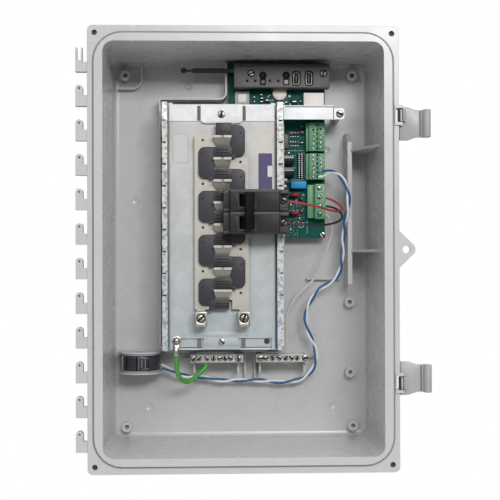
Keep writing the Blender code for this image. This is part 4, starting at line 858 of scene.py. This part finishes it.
def add_placed_parts(black, grey, pale, tin):
    """The parts with a place of their own: relays' feet, the chips, the pin header and the capacitors."""
    for low in (103.3, 88.2):
        add_part(pale, 56.2, low + 7.1, 6.6, 0.5, -33.15)
        for step in range(5):
            add_part(tin, 51.4 + step * 2.6, low + 4.1, 0.5, 5.7, -25.4, edge=0.1)
    add_part(grey, 53.6, 130.7, 3.0, 8.3, -27.6, edge=0.4)
    add_part(black, 53.6, 122.2, 3.1, 1.2, -27.7, edge=0.2)
    for row_z in (139.0, 128.0):
        for step in range(4):
            part_x = 59.6 + step * 2.9
            add_part(black, part_x, row_z, 1.1, 1.7, -25.8, edge=0.25)
            for side in (1, -1):
                add_part(tin, part_x, row_z + side * 2.3, 0.9, 0.5, -24.7)
    for row_z, half in ((145.6, 2.2), (140.2, 1.4), (128.0, 0.8)):
        add_part(black, 73.6, row_z, 2.2, half, -26.2, edge=0.3)
        add_part(tin, 73.6, row_z + half + 0.6, 1.8, 0.5, -24.8)
    for row in range(12):
        row_z = 87.0 + row * PIN_PITCH
        for column in (69.7, 73.0):
            add_part(grey, column, row_z, 1.15, 1.0, -26.6, edge=0.2)
            add_part(tin, column, row_z, 0.75, 0.6, -27.6)
    for x, z, half_x, half_z, front in (
        (24.4, 187.0, 2.0, 1.7, -26.4), (25.0, 182.6, 2.1, 1.5, -26.6), (24.6, 178.6, 2.0, 1.6, -26.4),
        (31.2, 180.2, 2.4, 2.4, -26.8), (64.0, 178.6, 3.6, 3.3, -27.4), (54.4, 178.0, 1.8, 1.8, -26.0),
        (16.0, 184.0, 1.2, 1.8, -25.6), (16.0, 178.6, 1.2, 1.4, -25.6), (72.0, 179.4, 1.2, 1.8, -25.4),
    ):
        add_part(black, x, z, half_x, half_z, front, edge=0.3)
        add_part(tin, x, z, half_x * 0.7, 0.6, front - 0.1)
    for x, z, size in ((52.4, 177.0, 1.3), (58.6, 185.4, 1.4), (59.6, 175.6, 1.0), (45.4, 176.6, 1.0)):
        add_turned(pale, ((0, 0.6), (size, 0.5), (size, 0), (0, 0)), (x, z), BOARD_FACE, steps=12)
    for x, z, radius, front in (
        (72.5, 47.0, 2.6, -30.0), (72.5, 62.0, 2.4, -29.0), (57.6, 33.0, 2.6, -28.0),
        (66.5, 30.5, 3.2, -29.0), (56.0, 56.0, 2.4, -27.0), (73.0, 36.0, 2.0, -27.5),
        (52.6, 24.6, 1.6, -27.0),
    ):
        height = BOARD_FACE - front
        can = ((0, height), (radius - 0.4, height), (radius, height - 0.4), (radius, 0), (0, 0))
        lid = ((0, height + 0.1), (radius * 0.6, height + 0.05), (0, height - 0.2))
        add_turned(black, can, (x, z), BOARD_FACE, steps=16)
        add_turned(grey, lid, (x, z), BOARD_FACE, steps=16)
    add_part(pale, 53.4, 84.6, 2.0, 1.6, -26.8, edge=0.3)
    add_part(pale, 52.5, 77.0, 2.1, 1.4, -26.4, edge=0.3)
    add_part(black, 54.3, 80.7, 3.3, 1.7, -28.0, edge=0.4)
    add_part(tin, 57.4, 117.0, 1.0, 1.0, -24.8)


def add_scattered_parts(black, grey, pale, tin):
    """The smallest parts, at seeded places: a thin field above the relays and a denser one at the foot."""
    shuffle = Random(7)
    for column in range(8):
        for row in range(15):
            x = 50.8 + column * 3.5 + shuffle.uniform(-0.5, 0.5)
            z = 113.0 + row * 2.5 + shuffle.uniform(-0.4, 0.4)
            if shuffle.random() < 0.45:
                continue
            half_x, half_z = shuffle.choice(((0.5, 0.9), (0.9, 0.5)))
            add_part(shuffle.choice((black, black, grey)), x, z, half_x, half_z, -24.8)
            add_part(tin, x, z - half_z, half_x * 0.9, 0.3, -24.5)
    for column in range(7):
        for row in range(26):
            x = 52.0 + column * 3.7 + shuffle.uniform(-0.7, 0.7)
            z = 17.0 + row * 2.7 + shuffle.uniform(-0.6, 0.6)
            covered = z > 70 or x > 77.5 or (z < 30 and x > 68)
            if covered or shuffle.random() < 0.3:
                continue
            upright = shuffle.random() < 0.5
            half_x, half_z = (0.55, 1.0) if upright else (1.0, 0.55)
            target = shuffle.choice((black, black, black, grey, pale))
            add_part(target, x, z, half_x, half_z, -24.9, edge=0.1)
            for end in (-1, 1):
                pad_x = x + end * (0 if upright else half_x)
                pad_z = z + end * (half_z if upright else 0)
                add_part(tin, pad_x, pad_z, 0.45, 0.45, -24.6)


def make_board_parts():
    """Chips, small parts and pads that cover the board, and the pale outlines printed between them."""
    black, grey, pale, tin = (bmesh.new() for _ in range(4))
    add_placed_parts(black, grey, pale, tin)
    add_scattered_parts(black, grey, pale, tin)
    piece("board_chips", black, CHIP_BLACK, "black_phenolic")
    piece("board_contacts", tin, TERMINAL_SCREW, "zinc_plated_steel")
    piece("board_ceramics", pale, LABEL_WHITE, "white_plastic")
    piece("board_grey_parts", grey, CHIP_GREY, "dark_cover_plastic")

    face = (BOARD_FACE - 0.06, BOARD_FACE - 0.01)
    upright = ((78.0, 0.2, 123.4, 149.6), (77.0, 0.15, 86.0, 118.0), (79.4, 0.15, 20.0, 78.0))
    level = (
        (119.6, 0.15, 50.6, 76.0), (113.6, 0.15, 50.6, 66.0), (99.0, 0.15, 50.6, 66.0),
        (84.4, 0.15, 59.0, 77.6), (60.0, 0.15, 78.0, 80.0), (33.0, 0.2, 70.0, 77.0),
    )
    lines = [(centred(x, half), face, (low, high), 0) for x, half, low, high in upright]
    lines += [((low, high), face, centred(z, half), 0) for z, half, low, high in level]
    rings = (((72.0, 30.0), 3.2), ((66.5, 30.5), 4.0), ((46.4, 188.4), 9.8), ((36.0, 183.4), 3.4))
    for centre, radius in rings:
        for start, end in zip(arc(centre, radius, 0, 345, 23), arc(centre, radius, 15, 360, 23)):
            x, z = ((min(pair) - 0.1, max(pair) + 0.1) for pair in zip(start, end))
            lines.append((x, face, z, 0))
    block_piece("board_outlines", lines, LABEL_WHITE, "white_plastic")


def make_large_parts():
    """The shielded radio module, the coin cell in its clip, and the white, blue, red and black parts."""
    x, y, z = limits("shielded_module")
    shape = bmesh.new()
    add_block(shape, x, y, z, edge=0.4)
    add_frame(shape, (x[0] + 0.4, x[1] - 0.4), (z[0] + 0.4, z[1] - 0.4), 1.0, 1.0, (y[0] - 0.25, y[0] + 0.3))
    piece("shielded_module_can", shape, SHIELD_GREY, "zinc_plated_steel", stands_for="shielded_module")
    label = ((x[0] + 3.6, x[1] - 3.6), (y[0] - 0.9, y[0] + 0.2), (z[0] + 2.8, z[1] - 3.4), 0.5)
    block_piece("shielded_module_label", [label], CREAM, "white_plastic")

    centre, radius, y = round_place("coin_cell")
    depth = y[1] - y[0]
    can = (
        (0, depth), (radius - 1.4, depth), (radius - 0.5, depth - 0.6),
        (radius, depth - 1.4), (radius, 0.4), (0, 0),
    )
    shape = bmesh.new()
    add_turned(shape, can, centre, y[1], steps=48)
    piece("coin_cell_can", shape, CREAM, "zinc_plated_steel", stands_for="coin_cell")
    clip = ((0, 1.2), (radius + 1.4, 1.2), (radius + 1.6, 0), (0, 0))
    shape = bmesh.new()
    add_turned(shape, clip, (centre[0], centre[1] - 0.6), BOARD_FACE, steps=40)
    piece("coin_cell_clip", shape, CHIP_BLACK, "black_phenolic")

    x, y, z = limits("relay_block")
    top = ((x[0] + 2, x[1] - 2), (y[0] - 0.15, y[0] + 0.3), (z[0] + 2, z[1] - 2), 0.2)
    block_piece("relay_block_body", [(x, y, z, 0.7), top], CREAM, "white_plastic", stands_for="relay_block")

    x, y, z = limits("film_capacitor")
    shape = bmesh.new()
    add_block(shape, x, (y[0], y[1] - 0.5), z, edge=0.7, segments=3)
    for foot in (x[0] + 2.0, x[1] - 2.0):
        add_block(shape, centred(foot, 1.2), (y[1] - 1.2, y[1]), centred(middle(z), 2.5), edge=0.2)
    piece("film_capacitor_body", shape, "capacitor_blue", stands_for="film_capacitor")

    for node in ("varistor_upper", "varistor_lower"):
        x, y, z = limits(node)
        half = (x[1] - x[0]) / 2
        thick = (z[1] - z[0]) / 2
        centre = (middle(x), y[0] + half)
        upper = [(0, thick), (half * 0.7, thick * 0.94), (half * 0.93, thick * 0.6)]
        lower = [(radius, -height) for radius, height in reversed(upper)]
        lead = ((0, 0), (0.9, -0.2), (0.5, centre[1] - y[1]), (0, centre[1] - y[1]))
        shape = bmesh.new()
        add_turned(shape, (*upper, (half, 0), *lower), centre, middle(z), "Z", 36)
        for side in (-1, 1):
            add_turned(shape, lead, (centre[0] + side * 2.5, middle(z)), centre[1], steps=10)
        piece(f"{node}_disc", shape, "varistor_red", stands_for=node)
    for node in ("signal_relay_upper", "signal_relay_lower", "pin_header"):
        refined(node, 0.3, material=RELAY_NAVY)


def make_cover():
    """The board cover, its sockets and their tongues, its buttons and light windows, and painted shade in its
    indicator holes, in the sockets' mouths and round its screws, buttons and windows.
    """
    cover = refined("board_cover", 0.35, least=45)
    recoloured(cover, ARM_BLACK, lambda place: place.x < -9.2)
    rim = (COVER_FACE - 0.15, COVER_FACE + 0.2)
    # Painted shade in the holes, the sockets' mouths and the rings and frames round screws, buttons and
    # windows
    wells = bmesh.new()
    tongues = bmesh.new()
    for x in (6.8, 16.4, 33.6, 43.5):
        add_disc(wells, (x, 200.4), 1.75, COVER_FACE + 1.4, 0, 2.5, steps=16)
    for side in SIDES:
        x, y, z = limits(f"usb_port_{side}")
        socket = rounded(centred(middle(x), 2.6), centred(middle(z), 6.4), [1.2] * 4)
        add_plate(wells, socket, (y[0] + 2.4, y[0] + 3.0))
        add_frame(wells, (x[0] - 1.6, x[1] + 1.6), (z[0] - 1.8, z[1] + 1.8), 0.8, 3.4, rim)
        tongue_y = (y[0] + 1.0, y[0] + 2.8)
        add_block(tongues, centred(middle(x), 0.75), tongue_y, centred(middle(z), 5.4), edge=0.2)
        screw, radius, _ = round_place(f"cover_screw_{side}")
        add_ring(wells, screw, radius, radius + 1.1, rim)
        button = round_place(f"button_{side}")[0]
        add_ring(wells, button, 3.45, 4.5, rim)
        add_frame(wells, centred(button[0], 3.7), (button[1] - 11.8, button[1] - 3.9), 0.75, 0.8, rim)
    piece("cover_well_shadows", wells, HOLE_SHADE, "black_phenolic")
    piece("usb_tongues", tongues, CHIP_GREY, "dark_cover_plastic")
    for side in SIDES:
        node = f"usb_port_{side}"
        x, y, z = limits(node)
        back = rounded((x[0] + 0.4, x[1] - 0.4), (z[0] + 0.4, z[1] - 0.4), [1.8] * 4)
        shape = bmesh.new()
        add_frame(shape, x, z, 0.55, 2.2, y)
        add_plate(shape, back, (y[0] + 6.0, y[1] - 0.3))
        piece(f"{node}_can", shape, SOCKET_METAL, "zinc_plated_steel", stands_for=node)
    for side in SIDES:
        node = f"button_{side}"
        centre, _, y = round_place(node)
        dome = [(2.8 * sin(radians(angle)), 8.4 + 0.8 * cos(radians(angle))) for angle in range(0, 91, 18)]
        stem = ((3.2, 8.2), (3.2, 6.3), (4.4, 6.3), (4.4, 5.2), (1.6, 5.2), (1.6, 0), (0, 0))
        shape = bmesh.new()
        add_turned(shape, (*dome, *stem), centre, y[1], steps=32)
        piece(f"{node}_cap", shape, BUTTON_BLACK, "black_phenolic", body=node, stands_for=node)
        node = f"light_guide_{side}"
        x, y, z = limits(node)
        lens = ((x[0] + 0.6, x[1] - 0.6), (y[0] - 0.2, y[0] + 0.4), (z[0] + 0.5, z[1] - 0.5), 0.2)
        blocks = [(x, y, z, 0.4), lens]
        block_piece(f"{node}_lens", blocks, GUIDE_PAINTED_TONES[side], "white_plastic", stands_for=node)


# ---------------------------------------------------------------- bars, transformer, latches


def make_bars():
    bars = (("ground_bar", GROUND_BAR_CLAMPS, 0), ("neutral_bar", NEUTRAL_BAR_CLAMPS, 3))
    for node, clamps, offset in bars:
        refined(node, 0.35, least=60)
        front = limits(node)[1][0]
        height = middle(limits(node)[2])
        heads = bmesh.new()
        # Painted shade in the clamp screws' wells and slots
        wells = bmesh.new()
        for index, place in enumerate(clamps):
            turn = CLAMP_TURNS[(index + offset) % len(CLAMP_TURNS)]
            add_disc(wells, (place, height), 3.1, front, 0.05, 0.3, steps=20)
            add_slotted_head(heads, wells, (place, height), front + 0.1, 2.75, 1.2, turn, slot=0.26)
        piece(f"{node}_clamps", heads, CLAMP_BLUE, "zinc_plated_steel")
        piece(f"{node}_wells", wells, HOLE_SHADE, "black_phenolic")


def make_transformer():
    """The current transformer: a black ring between its clear sleeve's ends, with straps, a window and a
    painted highlight strip on its left.
    """
    x, y, z = limits("current_transformer")
    centre = (middle(x), middle(y))
    radius = (x[1] - x[0]) / 2
    sleeve_half = (z[1] - z[0]) / 2
    half = sleeve_half - 1.9
    base = middle(z)

    upper = [
        (12.0, half - 0.6), (12.6, half), (radius - 2.2, half), (radius - 0.9, half - 0.5),
        (radius - 0.4, half - 1.6), (radius - 0.4, half - 3.4), (radius - 1.0, half - 3.9),
    ]
    lower = [(across, -height) for across, height in reversed(upper)]
    bore = [(11.2, 1.4 - half), (11.2, half - 1.4), upper[0]]
    shape = bmesh.new()
    add_turned(shape, upper + lower + bore, centre, base, "Z", 72)
    node = "current_transformer"
    piece(f"{node}_ring", shape, TRANSFORMER_BLACK, "black_phenolic", stands_for=node)

    shape = bmesh.new()
    for end in (1, -1):
        rim = (
            (11.4, half - 0.2), (radius - 1.6, half - 0.2), (radius - 0.2, half + 0.3),
            (radius - 0.2, sleeve_half - 0.5), (radius - 0.7, sleeve_half), (11.9, sleeve_half),
            (11.4, sleeve_half - 0.5), (11.4, half - 0.2),
        )
        add_turned(shape, [(across, end * height) for across, height in rim], centre, base, "Z", 72)
    piece("current_transformer_sleeve", shape, SLEEVE_PALE, "white_plastic")

    straps = []
    for angle, width in ((-62, 0.9), (-97, 0.35), (-128, 0.35)):
        for step in range(10):
            tilt = radians(angle) + (step - 4.5) * width / 10 / radius
            strap_x = centre[0] + (radius - 0.3) * cos(tilt)
            strap_y = centre[1] + (radius - 0.3) * sin(tilt)
            straps.append((centred(strap_x, 0.3), centred(strap_y, 0.3), centred(base, half - 0.3), 0))
    block_piece("current_transformer_straps", straps, HANDLE_BLACK, "black_phenolic")

    bars = []
    for x, low, high in (
        ((-122.0, -121.0), -6.5, 6.5), ((-118.6, -117.2), -5.0, 5.0), ((-114.6, -113.2), -5.0, 5.0),
        ((-110.6, -109.6), -6.5, 6.5), ((-122.0, -109.6), 5.8, 6.6), ((-122.0, -109.6), -6.6, -5.8),
    ):
        front = centre[1] - sqrt(radius**2 - (middle(x) - centre[0]) ** 2) + 0.05
        bars.append((x, (front, front + 2.5), (base + low, base + high), 0.1))
    # Painted highlight: a grey strip on the ring's left side where it catches the light
    highlight_x = (-142.4, -140.2)
    front = centre[1] - sqrt((radius - 0.4) ** 2 - (highlight_x[1] - centre[0]) ** 2) - 0.2
    bars.append((highlight_x, (front, front + 3.0), centred(base, 8.6), 0.3))
    block_piece("current_transformer_window", bars, TRANSFORMER_GREY, "black_phenolic")


def make_latches():
    """Each handle: rounded plate and hooked lip, with painted shadow on its clip inside the slot and in the
    groove between plate and lip.
    """
    for node in ("latch_upper", "latch_lower"):
        handle = refined(node, 0.5, body=node, material=LATCH_GREY, least=40)
        # Painted shadow on the clip where it sits inside the slot
        recoloured(handle, PIVOT_SHADOW, lambda place: place.x < 176.4)
        across = centred(middle(limits(node)[2]), 14.2)
        groove = ((196.3, 197.5), (LATCH_FACE - 0.15, LATCH_FACE + 0.5), across, 0.2)
        block_piece(f"{node}_groove", [groove], PIVOT_SHADOW, "grey_polycarbonate", body=node)


def make_rim_groove():
    """Painted shadow along the groove between the flange and the raised rim, and painted shade at the blind
    ends of the corner holes.
    """
    span = (FLANGE_FACE - 0.08, FLANGE_FACE + 0.2)
    shape = bmesh.new()
    add_frame(shape, centred(0, 167.2), centred(0, 240.8), 2.3, 33.2, span, steps=24)
    piece("rim_groove_shadow", shape, GROOVE_SHADOW, "grey_polycarbonate")
    shape = bmesh.new()
    for side in (-1, 1):
        for end in (-1, 1):
            add_disc(shape, (side * CORNER_HOLES[0], end * CORNER_HOLES[1]), 3.2, HOLE_END, 0.5, 0)
    piece("corner_hole_shadows", shape, PIVOT_SHADOW, "grey_polycarbonate")


def make_mould_marks():
    """Faint round marks that the mould's ejector pins left on the back."""
    mark = ((0, 0.03), (4.6, 0.03), (4.8, 0.08), (5.0, 0.08), (5.2, -0.1), (0, -0.1))
    shape = bmesh.new()
    for place in ((-63.0, 199.5), (-128.0, 60.0), (105.0, 122.0), (112.0, -190.0), (-112.0, -190.0)):
        add_turned(shape, mark, place, BACK_FACE, steps=40)
    piece("mould_marks", shape, "grey_polycarbonate")


# ---------------------------------------------------------------- wires


def evenly_spaced(line, spacing):
    """Points along a line of points, about spacing apart."""
    lengths = [0.0]
    for start, end in zip(line, line[1:]):
        lengths.append(lengths[-1] + (end - start).length)
    count = max(2, round(lengths[-1] / spacing))
    result = []
    index = 0
    for step in range(count + 1):
        wanted = lengths[-1] * step / count
        while index < len(lengths) - 2 and lengths[index + 1] < wanted:
            index += 1
        share = (wanted - lengths[index]) / (lengths[index + 1] - lengths[index])
        result.append(line[index].lerp(line[index + 1], min(share, 1.0)))
    return result


def smooth_line(route, spacing):
    """Points about spacing apart on a smooth curve through the route's points."""
    points = [Vector(point) for point in route]
    points = [2 * points[0] - points[1], *points, 2 * points[-1] - points[-2]]
    dense = []
    for before, start, end, after in zip(points, points[1:], points[2:], points[3:]):
        for step in range(16):
            t = step / 16
            dense.append(
                0.5 * (
                    2 * start
                    + (end - before) * t
                    + (2 * before - 5 * start + 4 * end - after) * t**2
                    + (3 * start - before - 3 * end + after) * t**3
                )
            )
    dense.append(points[-2])
    return evenly_spaced(dense, spacing)


def twisted(route, phase, spacing=3.0):
    """One strand of a pair twisted round a route."""
    line = smooth_line(route, spacing)
    strand = []
    for index, point in enumerate(line):
        ahead = line[min(index + 1, len(line) - 1)] - line[max(index - 1, 0)]
        side = ahead.cross(Vector((0, 1, 0))).normalized()
        depth = side.cross(ahead).normalized()
        angle = phase + tau * index * spacing / TWIST_PITCH
        strand.append(point + TWIST_RADIUS * (cos(angle) * side + sin(angle) * depth))
    return strand


def wire(node, line, diameter, slot):
    """A free wire from terminal to terminal, standing for the plain tube of its solid."""
    curve = bpy.data.curves.new(f"{node}_run", "CURVE")
    curve.dimensions = "3D"
    curve.bevel_depth = diameter / 2 * MM
    curve.bevel_resolution = 4
    curve.use_fill_caps = True
    spline = curve.splines.new("POLY")
    spline.points.add(len(line) - 1)
    for point, place in zip(spline.points, line):
        point.co = (*(place * MM), 1)
    spline.use_smooth = True
    curve.materials.append(MATERIALS[slot])
    run = bpy.data.objects.new(f"{node}_run", curve)
    bpy.context.scene.collection.objects.link(run)
    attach(run, FIXED)
    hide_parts(node)


def make_wires():
    for colour, phase in (("blue", 0.0), ("white", pi)):
        strand = twisted(PAIR_ROUTE, phase)
        route = [PAIR_STARTS[colour], PAIR_MIDS[colour], *strand[::2], PAIR_ENDS[colour]]
        wire(f"ct_wire_{colour}", smooth_line(route, 2.5), LEAD_DIAMETER, f"insulation_{colour}")
    wire("wire_red", smooth_line(RED_ROUTE, 2.0), SUPPLY_DIAMETER, "insulation_red")
    wire("wire_black", smooth_line(BLACK_ROUTE, 2.0), SUPPLY_DIAMETER, "insulation_black")
    wire("wire_neutral", smooth_line(NEUTRAL_ROUTE, 2.5), NEUTRAL_DIAMETER, "insulation_beige")
    wire("ground_wire", smooth_line(GREEN_ROUTE, 2.0), GROUND_DIAMETER, "insulation_green")


bpy.context.scene.view_settings.view_transform = "Standard"
make_camera()
dress_nodes()
make_wires()
make_insulator()
make_lugs()
make_screws()
make_ground_terminal()
make_pan_labels()
make_pan_emboss()
make_pan_hem()
make_strap_lines()
make_breaker()
make_terminals()
make_power_terminals()
make_board_parts()
make_large_parts()
make_cover()
make_bars()
make_transformer()
make_latches()
make_rim_groove()
make_mould_marks()
make_light()
make_floor()
